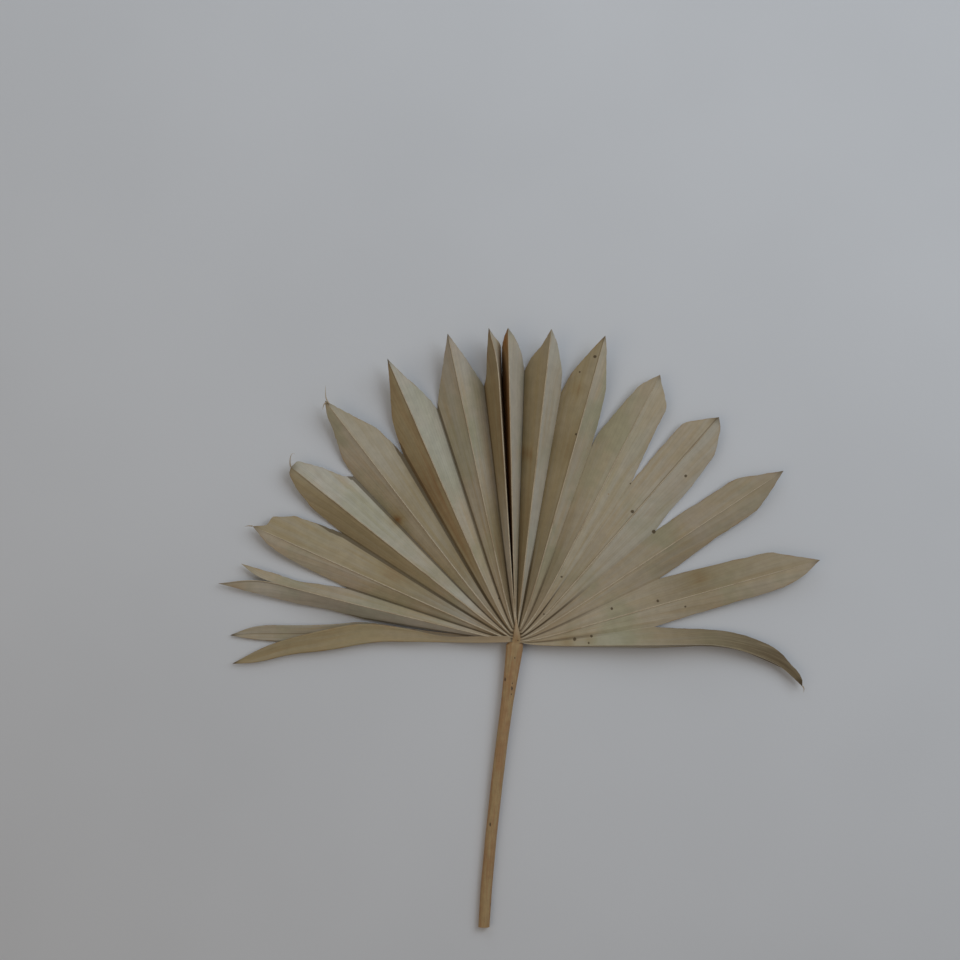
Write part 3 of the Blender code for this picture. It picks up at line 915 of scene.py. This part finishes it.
@dataclass(frozen=True)
class FloorFinish:
    """A pale, matt, painted surface.

    Attributes:
        paint: the main colour.
        roughness: the surface's roughness.
    """

    paint: Colour = (0.72, 0.73, 0.745, 1.0)
    roughness: float = 0.85

    def material(self) -> bpy.types.Material:
        """Build the finish.

        Returns:
            The material.
        """
        graph = Graph("pale_floor")
        place = graph.object_place()
        cloud = graph.spread(graph.noise(place, 3.5, 3.0), 0.3, 0.7, 0.97, 1.02)
        graph.feed(graph.shader, {"Specular IOR Level": 0.2})
        return graph.finish(graph.tone(self.paint, cloud), self.roughness,
                            graph.noise(place, 420.0, 2.0), 0.12, 0.0003)


@dataclass(frozen=True)
class Gauge:
    """How thick the blade is, measured straight up.

    Attributes:
        thickness: its thickness where it lies flat.
        most_upright: the most that a steep side shows.
        at_hub: its thickness where the pleats meet.
        hub_reach: the share of the way to the notch over which the hub thins.
    """

    thickness: float
    most_upright: float
    at_hub: float
    hub_reach: float = 0.12

    def upright(self, flatness: float, share: float) -> float:
        """Find the thickness where a side lies this flat, this share of the way to the notch."""
        nominal = min(self.thickness / flatness, self.most_upright)
        return nominal + (self.at_hub - nominal) * (1.0 - smooth_step(share / self.hub_reach))


@dataclass
class FanForm:
    """The fan's form: how its lines leave the hub and how high its pleats stand.

    Attributes:
        half_angle: degrees across half a segment, as it grew.
        solid: the solid's thickness.
        hub_underside: the underside's height at the hub.
        rim_middle_x: the middle of the rim that the pleats start on.
        rim_half_width: half the rim's width.
        rim_top: the rim's furthest point.
        rim_drop: how far the rim falls back at its sides.
        rim_turn: how much faster than a line's angle its start moves along the rim.
        left_offset: how far the left lines pass from the hub.
        right_offset: how far the right lines pass from the hub.
        offset_full_angle: the angle where that offset is whole.
        rim_bend: how sharply a line bends on leaving the rim.
        widest: the most that a segment may show of its grown width.
    """

    half_angle: float = 8.1
    solid: Gauge = Gauge(0.8, 2.6, 2.6)
    hub_underside: float = 6.4
    rim_middle_x: float = 0.6
    rim_half_width: float = 3.1
    rim_top: float = 7.5
    rim_drop: float = 11.2
    rim_turn: float = 2.5
    left_offset: float = -4.3
    right_offset: float = 6.2
    offset_full_angle: float = 30.0
    rim_bend: int = 8
    widest: float = 0.985

    def rim_point(self, angle: float) -> Vector:
        """Find where a line that leaves at this angle starts.

        Args:
            angle: the line's direction, in degrees.

        Returns:
            The point on the rim.
        """
        across = math.radians(min(max(self.rim_turn * angle, -90.0), 90.0))
        x = self.rim_middle_x + self.rim_half_width * math.sin(across)
        return Vector((x, self.rim_top - self.rim_drop * math.sin(math.radians(0.9 * abs(angle)))))

    def foot(self, angle: float) -> Vector:
        """Find the point beside the hub that a line aims at.

        Args:
            angle: the line's direction, in degrees.

        Returns:
            The point nearest the hub on the line.
        """
        offset = self.right_offset if angle > 0.0 else self.left_offset
        offset *= smooth_step(abs(angle) / self.offset_full_angle)
        turn = math.radians(angle)
        return Vector((math.cos(turn), -math.sin(turn))) * offset

    def hub_line(self, end: Sequence[float], aim: Sequence[float], share: float) -> Vector:
        """Read a crease or midrib on its way out.

        Args:
            end: where the stretch ends.
            aim: the point that sets its direction.
            share: the share of the way, from 0 to 1.

        Returns:
            The point there.
        """
        angle = direction_of(aim)
        foot = self.foot(angle)
        bend = (self.rim_point(angle) - foot) * (1.0 - share) ** self.rim_bend
        return foot + (Vector(end) - foot) * share + bend

    def crest_slope(self, left: Valley, right: Valley) -> tuple[float, float]:
        """Find how steeply a midrib climbs above its valleys.

        Args:
            left: the valley on its left.
            right: the valley on its right.

        Returns:
            The climb for each millimetre out, and how flat the pleat's sides lie.
        """
        drawn = math.radians(direction_of(right.notch) - direction_of(left.notch)) / 2.0
        grown = math.tan(math.radians(self.half_angle))
        shown = min(math.tan(drawn), self.widest * grown)
        return math.sqrt(grown**2 - shown**2), shown / grown


@dataclass
class Pleat:
    """One segment between its two valleys, read as lines of points on its underside.

    Attributes:
        form: the fan's form.
        segment: the segment.
        left: the valley on its left.
        right: the valley on its right.
    """

    form: FanForm
    segment: Segment
    left: Valley
    right: Valley

    def __post_init__(self) -> None:
        """Work out the midrib's place at the notches and round the free edges."""
        self.rise, self.flatness = self.form.crest_slope(self.left, self.right)
        reach = (Vector(self.left.notch).length + Vector(self.right.notch).length) / 2.0
        self.aim = Vector(self.segment.midrib[0] if self.segment.midrib else self.segment.tip)
        self.crest = self.form.hub_line(self.aim, self.aim, min(reach / self.aim.length, 1.0))
        tip = self.segment.tip
        self.right_tip = self.segment.second_tip or tip
        fork = (self.segment.fork,) if self.segment.fork else ()
        cut = self.segment.cut
        self.left_free = Trace((self.left.notch, *self.segment.left_edge, tip), cut)
        self.right_free = Trace((self.right.notch, *self.segment.right_edge, self.right_tip), cut)
        self.left_rib = Trace((self.crest, *self.segment.midrib, *fork, tip))
        self.right_rib = Trace((self.crest, *self.segment.midrib, *fork, self.right_tip))

    def _tip_underside(self) -> float:
        """Give the height of the tip's underside."""
        return self.segment.tip_height - self.form.solid.upright(self.flatness, 1.0)

    def side(self, side: int) -> tuple[Valley, Trace, Trace, Face]:
        """Pick what bounds one half of the segment.

        Args:
            side: -1 for the left half, 1 for the right.

        Returns:
            Its valley, its free edge, its midrib past the notches and how it has dried, with its
            painted light and shade.
        """
        if side < 0:
            return self.left, self.left_free, self.left_rib, self.segment.left
        return self.right, self.right_free, self.right_rib, self.segment.right

    def valley_height(self, valley: Valley, share: float) -> float:
        """Give the underside's height in a valley, at this share of the way to its notch."""
        return self.form.hub_underside + (valley.lift - self.form.hub_underside) * share

    def border(self, valley: Valley, free: Trace, share: float) -> Vector:
        """Read a side of the segment, along its valley and then its free edge.

        Args:
            valley: the valley.
            free: the free edge past the notch.
            share: 0 at the rim, 1 at the notch, 2 at the tip.

        Returns:
            The point on the underside.
        """
        if share <= 1.0:
            x, y = self.form.hub_line(valley.notch, valley.notch, share)
            return Vector((x, y, self.valley_height(valley, share)))
        x, y = free.at(share - 1.0)
        rise = (self._tip_underside() - valley.lift) * (share - 1.0) ** 1.2
        return Vector((x, y, valley.lift + rise))

    def rib(self, free: Trace, share: float) -> Vector:
        """Read the midrib.

        Args:
            free: its line past the notches.
            share: 0 at the rim, 1 at the notches, 2 at the tip.

        Returns:
            The point on the underside.
        """
        joined = min(share, 1.0)
        low = (self.valley_height(self.left, joined) + self.valley_height(self.right, joined)) / 2.0
        if share <= 1.0:
            x, y = self.form.hub_line(self.crest, self.aim, share)
            return Vector((x, y, low + self.rise * math.hypot(x, y)))
        x, y = free.at(share - 1.0)
        height = low + self.rise * self.crest.length
        ease = smooth_step(share - 1.0)
        return Vector((x, y, height + (self._tip_underside() - height) * ease))


@dataclass
class Blade:
    """The pleated blade, one thin sheet with its veins, rims and browned tips.

    Attributes:
        hub: the hub in the frame, in metres.
        form: the fan's form.
        sheet: the sheet's real thickness.
        joined_rows: rows of faces from the rim to the notches.
        free_rows: rows from the notches to the tips.
        crowding: how much closer together the rows lie near the hub.
        columns: columns across half a segment.
        half_bow: how far each half bows up, as a share of its width.
        ripple: the depth of the long ripples between the veins.
        vein_height: how far the veins stand up and sink in.
        veins: veins across half a segment.
        sway: the depth of the slow waves over the whole fan.
        sway_length: how long they are.
        sway_reach: how far from the hub they reach their full depth.
        root: the middle of the stalk's point at the rim.
        root_share: how much of the rim's width the pleats keep there.
        tip_reach: the length of a browned tip.
        tip_darkness: how dark the palest and the darkest tip may be.
        rim_reach: the width of a browned free edge.
        fray: how ragged a free edge is.
    """

    hub: Vector
    form: FanForm
    sheet: Gauge = Gauge(0.35, 1.1, 1.9)
    joined_rows: int = 34
    free_rows: int = 28
    crowding: float = 1.35
    columns: int = 22
    half_bow: float = 0.03
    ripple: float = 0.5
    vein_height: float = 0.045
    veins: float = 5.0
    sway: float = 0.35
    sway_length: float = 55.0
    sway_reach: float = 120.0
    root: float = 0.8
    root_share: float = 0.35
    tip_reach: float = 3.8
    tip_darkness: tuple[float, float] = (0.1, 0.8)
    rim_reach: float = 0.6
    fray: float = 0.5

    def pleats(self) -> list[Pleat]:
        """List every segment between its valleys, from the left to the right."""
        pairs = zip(VALLEYS, VALLEYS[1:])
        return [Pleat(self.form, segment, *pair) for segment, pair in zip(SEGMENTS, pairs)]

    def row_share(self, row: int) -> float:
        """Place a row, closer together near the hub.

        Args:
            row: the row's number.

        Returns:
            0 at the rim, 1 at the notches, 2 at the tip.
        """
        if row <= self.joined_rows:
            return (row / self.joined_rows) ** self.crowding
        return 1.0 + (row - self.joined_rows) / self.free_rows

    def column_share(self, column: int) -> float:
        """Place a column between 0, the valley, and 1, the midrib, closer together at both."""
        even = column / self.columns
        return 0.55 * even + 0.45 * (0.5 - 0.5 * math.cos(math.pi * even))

    def wavy(self, point: Vector) -> float:
        """Find how far the whole fan sways up or down at a point.

        Args:
            point: the point.

        Returns:
            The height to add, never under the surface that the leaf lies on.
        """
        slow = noise.noise(Vector((point.x / self.sway_length, point.y / self.sway_length, 3.7)))
        reach = smooth_step(point.xy.length / self.sway_reach)
        return self.sway * reach * (0.6 + slow)

    @staticmethod
    def stain_and_painted_light(point: Vector) -> tuple[float, float]:
        """Find how the stains, painted light and painted shade of the table change the blade at a
        point.

        Args:
            point: the point.

        Returns:
            How much browner and how much darker it is.
        """
        browner = darker = 0.0
        for place, radius, brown, dark in STAINS_AND_PAINTED_LIGHT:
            near = math.exp(-((point.xy - Vector(place)).length / radius) ** 2)
            browner += near * brown
            darker += near * dark
        return browner, darker

    def rooted(self, point: Vector) -> Vector:
        """Draw a point at the rim under the stalk's point, so that the pleats grow out of it."""
        x = self.root + (point.x - self.root) * self.root_share
        return Vector((x, point.y - 0.4, point.z - 0.5))

    def half(self, bm: bmesh.types.BMesh, pleat: Pleat, side: int, own: float) -> None:
        """Add half a segment as a grid between its valley and its midrib.

        Args:
            bm: the mesh to add to.
            pleat: the segment.
            side: -1 for the left half, 1 for the right.
            own: the half's own random number.
        """
        # dried holds the half's browning with its painted light and shade.
        valley, free_edge, rib, dried = pleat.side(side)
        thickness = bm.verts.layers.float["thickness"]
        rows = self.joined_rows + self.free_rows
        grown = math.tan(math.radians(self.form.half_angle))
        made = bmesh.ops.create_grid(bm, x_segments=rows, y_segments=self.columns, size=0.5)
        shares = [self.row_share(row) for row in range(rows + 1)]
        lines = [(pleat.border(valley, free_edge, at), pleat.rib(rib, at)) for at in shares]
        lines[0] = tuple(self.rooted(point) for point in lines[1])
        tip = lines[-1][1]
        tip_dark = random.Random(own).uniform(*self.tip_darkness)
        looks: Looks = {}
        for vert in made["verts"]:
            row = round((vert.co.x + 0.5) * rows)
            across = self.column_share(round((vert.co.y + 0.5) * self.columns))
            outer, inner = lines[row]
            width = (outer - inner).length
            free = smooth_step((shares[row] - 1.0) * self.free_rows / 3.0)
            frayed = free * self.fray * noise.noise(outer * 0.9) * (1.0 - across) / max(width, 3.0)
            point = outer.lerp(inner, across + frayed)
            reach = point.xy.length
            full = grown * max(reach, 1.0)
            place = Vector((side * (1.0 - across) * min(width / full, 1.1), reach / FULL_REACH))
            bow = math.sin(math.pi * across) * width
            long_ripple = noise.noise(Vector((place.x * 3.0, place.y * 2.6, own * 50.0)))
            point.z += self.half_bow * bow + self.ripple * long_ripple * min(bow / 12.0, 1.0)
            vein = math.cos(math.tau * self.veins * place.x)
            point.z += self.wavy(point) + self.vein_height * vein * smooth_step(reach / 40.0)
            vert.co = point
            vert[thickness] = self.sheet.upright(pleat.flatness, min(shares[row], 1.0))
            rim = free * math.exp(-width * across / self.rim_reach)
            # Stains, painted light and painted shade from the table, with the half's browning and
            # painted shade.
            browner, darker = (a + b for a, b in zip(self.stain_and_painted_light(point), dried.at(reach)))
            darker += tip_dark * math.exp(-((point - tip).length / self.tip_reach) ** 2)
            looks[vert] = (place, (rim, darker, browner, own))
        dress_corners(bm, looks)
        self._mark_creases(made["verts"])

    def _mark_creases(self, verts: list[bmesh.types.BMVert]) -> None:
        """Keep the valley and the midrib sharp, where the shading would round them.

        Args:
            verts: the vertices of one half, still in the grid's order.
        """
        stride = self.joined_rows + self.free_rows + 1
        for first in (0, self.columns * stride):
            line = set(verts[first:first + stride])
            for vert in line:
                for edge in vert.link_edges:
                    if edge.other_vert(vert) in line:
                        edge.smooth = False

    @staticmethod
    def give_underside(bm: bmesh.types.BMesh) -> None:
        """Weld the grids, lift the sheet's upper face off its underside and close it.

        Args:
            bm: the mesh.
        """
        bmesh.ops.remove_doubles(bm, verts=bm.verts, dist=2.0 * WELD)
        thickness = bm.verts.layers.float["thickness"]
        made = bmesh.ops.extrude_face_region(bm, geom=bm.faces[:], use_keep_orig=True)
        for item in made["geom"]:
            if isinstance(item, bmesh.types.BMVert):
                item.co.z += item[thickness]
        smooth_shell(bm)
        bm.verts.layers.float.remove(thickness)

    @staticmethod
    def new_sheet() -> bmesh.types.BMesh:
        """Start an empty mesh with the layers that a sheet needs.

        Returns:
            The mesh.
        """
        bm = bmesh.new()
        bm.verts.layers.float.new("thickness")
        bm.loops.layers.uv.new("pleat")
        bm.loops.layers.float_color.new("wear_and_painted_light")
        return bm

    def build(self, material: bpy.types.Material) -> bpy.types.Object:
        """Build the joined part of the fan.

        Args:
            material: the blade's finish.

        Returns:
            The piece.
        """
        draw = random.Random(SEED)
        bm = self.new_sheet()
        for pleat in self.pleats():
            for side in (-1, 1):
                self.half(bm, pleat, side, draw.random())
        self.give_underside(bm)
        return finished_piece("blade_sheet", bm, self.hub, material, "leaf_fan")


@dataclass
class LooseStrip:
    """One loose outer strip at the lower left.

    Attributes:
        ribbon: its outline.
        blade: the blade that it belongs to.
        rows: rows of faces along it.
        columns: columns across it.
        trough: how far its middle lies under its edges, as a share of its width.
        ripple: the depth of its long ripples.
        veined_width: the width that the veins of half a segment take.
    """

    ribbon: Ribbon
    blade: Blade
    rows: int = 90
    columns: int = 12
    trough: float = 0.06
    ripple: float = 0.4
    veined_width: float = 9.0

    def build(self, material: bpy.types.Material) -> bpy.types.Object:
        """Build the strip.

        Args:
            material: the blade's finish.

        Returns:
            The piece.
        """
        bm = Blade.new_sheet()
        thickness = bm.verts.layers.float["thickness"]
        upper = Trace((*self.ribbon.upper_edge, self.ribbon.tip))
        lower = Trace((*self.ribbon.lower_edge, self.ribbon.tip))
        tip = Vector(self.ribbon.tip)
        own = random.Random(self.ribbon.name).random()
        made = bmesh.ops.create_grid(bm, x_segments=self.rows, y_segments=self.columns, size=0.5)
        looks: Looks = {}
        for vert in made["verts"]:
            share = vert.co.x + 0.5
            across = vert.co.y + 0.5
            above, below = upper.at(share), lower.at(share)
            width = (above - below).length
            point = below.lerp(above, across)
            bow = math.sin(math.pi * across) * width
            reach = point.xy.length
            place = Vector(((across - 0.5) * width / self.veined_width, reach / FULL_REACH))
            long_ripple = noise.noise(Vector((place.x * 3.0, place.y * 4.0, own * 50.0)))
            point.z += -self.trough * bow + self.ripple * long_ripple * min(bow / 8.0, 1.0)
            point.z = max(point.z - self.blade.form.solid.thickness, 0.05)
            vert.co = point
            vert[thickness] = self.blade.sheet.upright(1.0, share)
            rim_distance = min(across, 1.0 - across) * width
            rim = smooth_step(share * 4.0) * math.exp(-rim_distance / self.blade.rim_reach)
            browner, darker = self.blade.stain_and_painted_light(point)
            darker += math.exp(-((point - tip).length / self.blade.tip_reach) ** 2)
            looks[vert] = (place, (rim, darker, self.ribbon.tint.value + browner, own))
        dress_corners(bm, looks)
        Blade.give_underside(bm)
        return finished_piece(self.ribbon.name, bm, self.blade.hub, material)


def tapered_tube(bm: bmesh.types.BMesh, path: list[Vector], radii: list[float],
                 sides: int) -> None:
    """Add a thin tube that runs out to a point at both ends.

    Args:
        bm: the mesh to add to.
        path: the points that it follows.
        radii: its radius at each point.
        sides: how many sides it has.
    """
    rows = len(path) - 1
    made = bmesh.ops.create_grid(bm, x_segments=rows, y_segments=sides, size=0.5)
    for vert in made["verts"]:
        row = round((vert.co.x + 0.5) * rows)
        turn = math.tau * (vert.co.y + 0.5)
        ahead = path[min(row + 1, rows)] - path[max(row - 1, 0)]
        level = ahead.cross(Vector((0.0, 0.0, 1.0))).normalized()
        upward = level.cross(ahead).normalized()
        vert.co = path[row] + (level * math.cos(turn) + upward * math.sin(turn)) * radii[row]
    bmesh.ops.remove_doubles(bm, verts=made["verts"], dist=WELD)


@dataclass
class Midribs:
    """The raised midrib along every pleat's crest.

    Attributes:
        blade: the blade that carries them.
        base_radius: a midrib's radius near the hub.
        tip_radius: its radius near the tip.
        sides: how many sides each has.
    """

    blade: Blade
    base_radius: float = 0.5
    tip_radius: float = 0.28
    sides: int = 8

    def build(self, material: bpy.types.Material) -> bpy.types.Object:
        """Build the midribs.

        Args:
            material: their finish.

        Returns:
            The piece.
        """
        bm = bmesh.new()
        rows = self.blade.joined_rows + self.blade.free_rows
        for pleat in self.blade.pleats():
            path: list[Vector] = []
            radii: list[float] = []
            for row in range(rows + 1):
                share = self.blade.row_share(row)
                point = pleat.rib(pleat.left_rib, share)
                point.z += self.blade.wavy(point)
                point.z += self.blade.sheet.upright(pleat.flatness, min(share, 1.0))
                path.append(point)
                radius = self.base_radius + (self.tip_radius - self.base_radius) * share / 2.0
                radius *= pleat.segment.rib_width
                radii.append(radius * smooth_step(row / 4.0) * smooth_step((rows - row) / 6.0))
            tapered_tube(bm, path, radii, self.sides)
        smooth_shell(bm)
        return finished_piece("midribs", bm, self.blade.hub, material)


@dataclass
class TipThreads:
    """The dry threads that curl off a few tips.

    Attributes:
        hub: the hub in the frame, in metres.
        radius: a thread's radius where it leaves its tip.
        steps: how many short stretches each has.
        sides: how many sides each has.
        threads: the points that each one passes, from its tip outwards.
    """

    hub: Vector
    radius: float = 0.5
    steps: int = 24
    sides: int = 6
    threads: tuple[tuple[Point, ...], ...] = (
        ((-171.0, 72.0, 7.6), (-174.0, 72.4, 8.2), (-176.4, 71.6, 8.6)),
        ((-146.0, 110.0, 9.6), (-146.6, 113.0, 10.8), (-146.3, 116.5, 11.8), (-145.4, 119.0, 12.2),
         (-144.0, 119.6, 12.0), (-143.2, 118.6, 11.6)),
        ((-120.5, 151.0, 14.2), (-122.6, 154.0, 14.6), (-123.2, 158.0, 15.0),
         (-123.0, 163.6, 15.6)),
        ((-122.6, 152.6, 14.2), (-124.3, 151.0, 14.4), (-125.2, 147.4, 14.0)),
        ((187.0, -32.0, 6.4), (188.4, -34.0, 6.2), (187.8, -36.6, 5.8)),
    )

    def build(self, material: bpy.types.Material) -> bpy.types.Object:
        """Build the threads.

        Args:
            material: their finish.

        Returns:
            The piece.
        """
        bm = bmesh.new()
        steps = range(self.steps + 1)
        for thread in self.threads:
            line = Trace(thread, 3.0)
            path = [line.at(step / self.steps) for step in steps]
            radii = [self.radius * smooth_step((step + 0.5) / 2.0)
                     * (1.0 - 0.95 * step / self.steps) for step in steps]
            tapered_tube(bm, path, radii, self.sides)
        smooth_shell(bm)
        return finished_piece("tip_threads", bm, self.hub, material)


@dataclass
class Stalk:
    """The stalk with the point that runs out between the pleats, its fibres and its cut end.

    Attributes:
        hub: the hub in the frame, in metres.
        sides: how many sides it has.
        step: the length between its rings.
        flattening: how flat its upper side is.
        fibre_depth: how deep the grooves between its fibres are.
        fibres: how many fibres show round it.
        dent: how deep the dents between them are.
        dent_length: how long the dents are.
        eased: the length under which the change from station to station is eased.
        bark_length: the length that its map counts as 1.
        sharp_angle: degrees from which an edge stays sharp.
        cut_rings: how much of the outline each ring of the cut end keeps, and how far it is sunk.
        point_ring: how much of it the point's last ring keeps, and how far that stands out.
    """

    hub: Vector
    sides: int = 64
    step: float = 1.0
    flattening: float = 0.75
    fibre_depth: float = 0.10
    fibres: int = 17
    dent: float = 0.12
    dent_length: float = 38.0
    eased: float = 12.0
    bark_length: float = 20.0
    sharp_angle: float = 50.0
    cut_rings: tuple[Point, ...] = ((0.02, 0.35), (0.55, 0.3), (0.9, 0.12))
    point_ring: Point = (0.05, 0.4)

    def station_at(self, along: float) -> list[float]:
        """Read the stalk's sizes between two of its stations.

        Args:
            along: the place along it.

        Returns:
            The middle across, its height, half the width and half the depth.
        """
        places = [station[0] for station in STALK_STATIONS]
        for index in range(len(places) - 1):
            if along <= places[index + 1]:
                break
        start, end = STALK_STATIONS[index], STALK_STATIONS[index + 1]
        share = (along - start[0]) / (end[0] - start[0])
        if end[0] - start[0] < self.eased:
            share = smooth_step(share)
        return [a + (b - a) * share for a, b in zip(start[1:], end[1:])]

    def ring(self, along: float, shrink: float = 1.0, sink: float = 0.0) -> list[Vector]:
        """Find the outline at one place.

        Args:
            along: the place along the stalk.
            shrink: how much of its width and depth it keeps.
            sink: how far the ring is pushed into the cut end.

        Returns:
            The outline's points.
        """
        across, height, half_width, half_depth = self.station_at(along)
        points = []
        for side in range(self.sides):
            turn = math.tau * side / self.sides
            up = math.sin(turn)
            depth = half_depth * (self.flattening if up > 0.0 else 1.0)
            wander = noise.noise(Vector((math.cos(turn) * 2.0, up * 2.0, along / self.dent_length)))
            groove = 0.5 + 0.5 * math.cos(self.fibres * turn + 2.5 * wander)
            fade = min(half_width / 3.0, 1.0)
            cut = self.fibre_depth * groove**3 * fade + self.dent * abs(wander) * fade
            x = across + (half_width - cut) * shrink * math.cos(turn)
            z = max(height + (depth - cut) * shrink * up, 0.02)
            points.append(Vector((x, along + sink, z)))
        return points

    def build(self, material: bpy.types.Material,
              cut_material: bpy.types.Material) -> bpy.types.Object:
        """Build the stalk.

        Args:
            material: the bark's finish.
            cut_material: the cut end's finish.

        Returns:
            The piece.
        """
        bm = bmesh.new()
        bark = bm.loops.layers.uv.new("bark")
        first, last = STALK_STATIONS[0][0], STALK_STATIONS[-1][0]
        count = round((last - first) / self.step)
        rings = [self.ring(first, *ring) for ring in self.cut_rings]
        rings += [self.ring(first + (last - first) * index / count) for index in range(count + 1)]
        rings.append(self.ring(last, *self.point_ring))
        rows = len(rings) - 1
        made = bmesh.ops.create_grid(bm, x_segments=rows, y_segments=self.sides, size=0.5)
        spots: dict[bmesh.types.BMVert, tuple[int, int]] = {}
        for vert in made["verts"]:
            row = round((vert.co.x + 0.5) * rows)
            side = round((vert.co.y + 0.5) * self.sides)
            spots[vert] = (row, side)
            vert.co = rings[row][side % self.sides]
        for face in bm.faces:
            face.smooth = True
            furthest = max(spots[vert][0] for vert in face.verts)
            face.material_index = 1 if furthest <= len(self.cut_rings) else 0
            for loop in face.loops:
                row, side = spots[loop.vert]
                loop[bark].uv = (side / self.sides, row * self.step / self.bark_length)
        bmesh.ops.remove_doubles(bm, verts=bm.verts, dist=WELD)
        bmesh.ops.holes_fill(bm, edges=[edge for edge in bm.edges if edge.is_boundary], sides=0)
        bmesh.ops.recalc_face_normals(bm, faces=bm.faces)
        piece = finished_piece("stalk", bm, self.hub, material, "leaf_stalk")
        piece.data.materials.append(cut_material)
        piece.data.set_sharp_from_angle(angle=math.radians(self.sharp_angle))
        return piece


@dataclass(frozen=True)
class SoftLight:
    """A square soft light that faces the leaf.

    Attributes:
        name: its name.
        azimuth: its direction in degrees, from +X towards +Y.
        elevation: its height above the floor, in degrees.
        distance: how far off it is, in metres.
        side: its side, in metres.
        power: its power, in watts.
        colour: its colour.
    """

    name: str
    azimuth: float
    elevation: float
    distance: float
    side: float
    power: float
    colour: Point

    def hang(self) -> None:
        """Hang the light."""
        data = bpy.data.lights.new(self.name, "AREA")
        data.shape = "SQUARE"
        data.size = self.side
        data.energy = self.power
        data.color = self.colour
        light = bpy.data.objects.new(self.name, data)
        turn, lift = math.radians(self.azimuth), math.radians(self.elevation)
        level = math.cos(lift)
        away = Vector((level * math.cos(turn), level * math.sin(turn), math.sin(lift)))
        light.location = away * self.distance
        light.rotation_euler = (-away).to_track_quat("-Z", "Y").to_euler()
        bpy.context.scene.collection.objects.link(light)


# A window at the upper right, a low glow behind the tips and a weak warm fill
LIGHTS = (
    SoftLight("window", 38.0, 46.0, 1.5, 1.1, 8.6, (0.84, 0.92, 1.0)),
    SoftLight("glow", 112.0, 32.0, 1.12, 0.7, 1.5, (0.80, 0.90, 1.0)),
    SoftLight("fill", 200.0, 50.0, 2.4, 1.9, 6.2, (1.0, 0.80, 0.54)),
)


@dataclass
class Studio:
    """The pale floor, the soft light and the camera over the leaf.

    Attributes:
        hub: the hub in the frame, in metres.
        pixel: the size of one of the photograph's pixels on the leaf, in metres.
        hub_pixel: where the hub is in the photograph.
        frame_pixels: the photograph's size.
        leaf_height: the mean height of the leaf's upper side, in metres.
        lens: the camera's focal length, in millimetres.
        sensor: the sensor's side, in millimetres.
        floor_side: the floor's side, in metres.
        sky: the colour of the room's own light.
        sky_strength: its strength.
    """

    hub: Vector
    pixel: float = 0.00065
    hub_pixel: Point = (515.5, 637.0)
    frame_pixels: float = 960.0
    leaf_height: float = 0.010
    lens: float = 50.0
    sensor: float = 24.0
    floor_side: float = 8.0
    sky: Colour = (0.98, 0.94, 0.94, 1.0)
    sky_strength: float = 0.175

    def camera(self) -> None:
        """Hang the camera over the leaf so that the hub falls where the photograph has it."""
        half = self.frame_pixels / 2.0
        middle = Vector((
            self.hub.x + (half - self.hub_pixel[0]) * self.pixel,
            self.hub.y + (self.hub_pixel[1] - half) * self.pixel,
        ))
        distance = self.frame_pixels * self.pixel * self.lens / self.sensor
        data = bpy.data.cameras.new("camera")
        data.lens = self.lens
        data.sensor_fit = "HORIZONTAL"
        data.sensor_width = self.sensor
        camera = bpy.data.objects.new("camera", data)
        camera.location = (middle.x, middle.y, self.leaf_height + distance)
        bpy.context.scene.collection.objects.link(camera)
        bpy.context.scene.camera = camera

    def floor(self, material: bpy.types.Material) -> None:
        """Lay the floor.

        Args:
            material: its finish.
        """
        bm = bmesh.new()
        bmesh.ops.create_grid(bm, x_segments=8, y_segments=8, size=self.floor_side / 2.0)
        mesh = bpy.data.meshes.new("floor")
        bm.to_mesh(mesh)
        bm.free()
        mesh.materials.append(material)
        floor = bpy.data.objects.new("floor", mesh)
        bpy.context.scene.collection.objects.link(floor)

    def room(self) -> None:
        """Give the room its dim sky and its plain colours."""
        world = bpy.data.worlds.new("room")
        world.use_nodes = True
        sky = world.node_tree.nodes["Background"]
        sky.inputs["Color"].default_value = self.sky
        sky.inputs["Strength"].default_value = self.sky_strength
        bpy.context.scene.world = world
        bpy.context.scene.view_settings.view_transform = "Standard"
        bpy.context.scene.view_settings.look = "None"

    def build(self) -> None:
        """Set up the floor, the lights and the camera."""
        self.floor(FloorFinish().material())
        for light in LIGHTS:
            light.hang()
        self.room()
        self.camera()


def main() -> None:
    """Build the leaf's pieces in order, then the studio."""
    logging.basicConfig(level=logging.INFO, format="%(name)s: %(message)s")
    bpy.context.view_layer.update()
    hub = hub_in_frame()
    blade_material = BladeFinish(hub).material()
    midrib_material = MidribFinish().material()
    stalk_finish = StalkFinish(hub)
    blade = Blade(hub, FanForm())
    blade.build(blade_material)
    for ribbon in RIBBONS:
        LooseStrip(ribbon, blade).build(blade_material)
    Midribs(blade).build(midrib_material)
    TipThreads(hub).build(midrib_material)
    Stalk(hub).build(stalk_finish.material(), stalk_finish.cut_material())
    Studio(hub).build()
    LOG.info("boxes written")


if __name__ == "__main__":
    main()
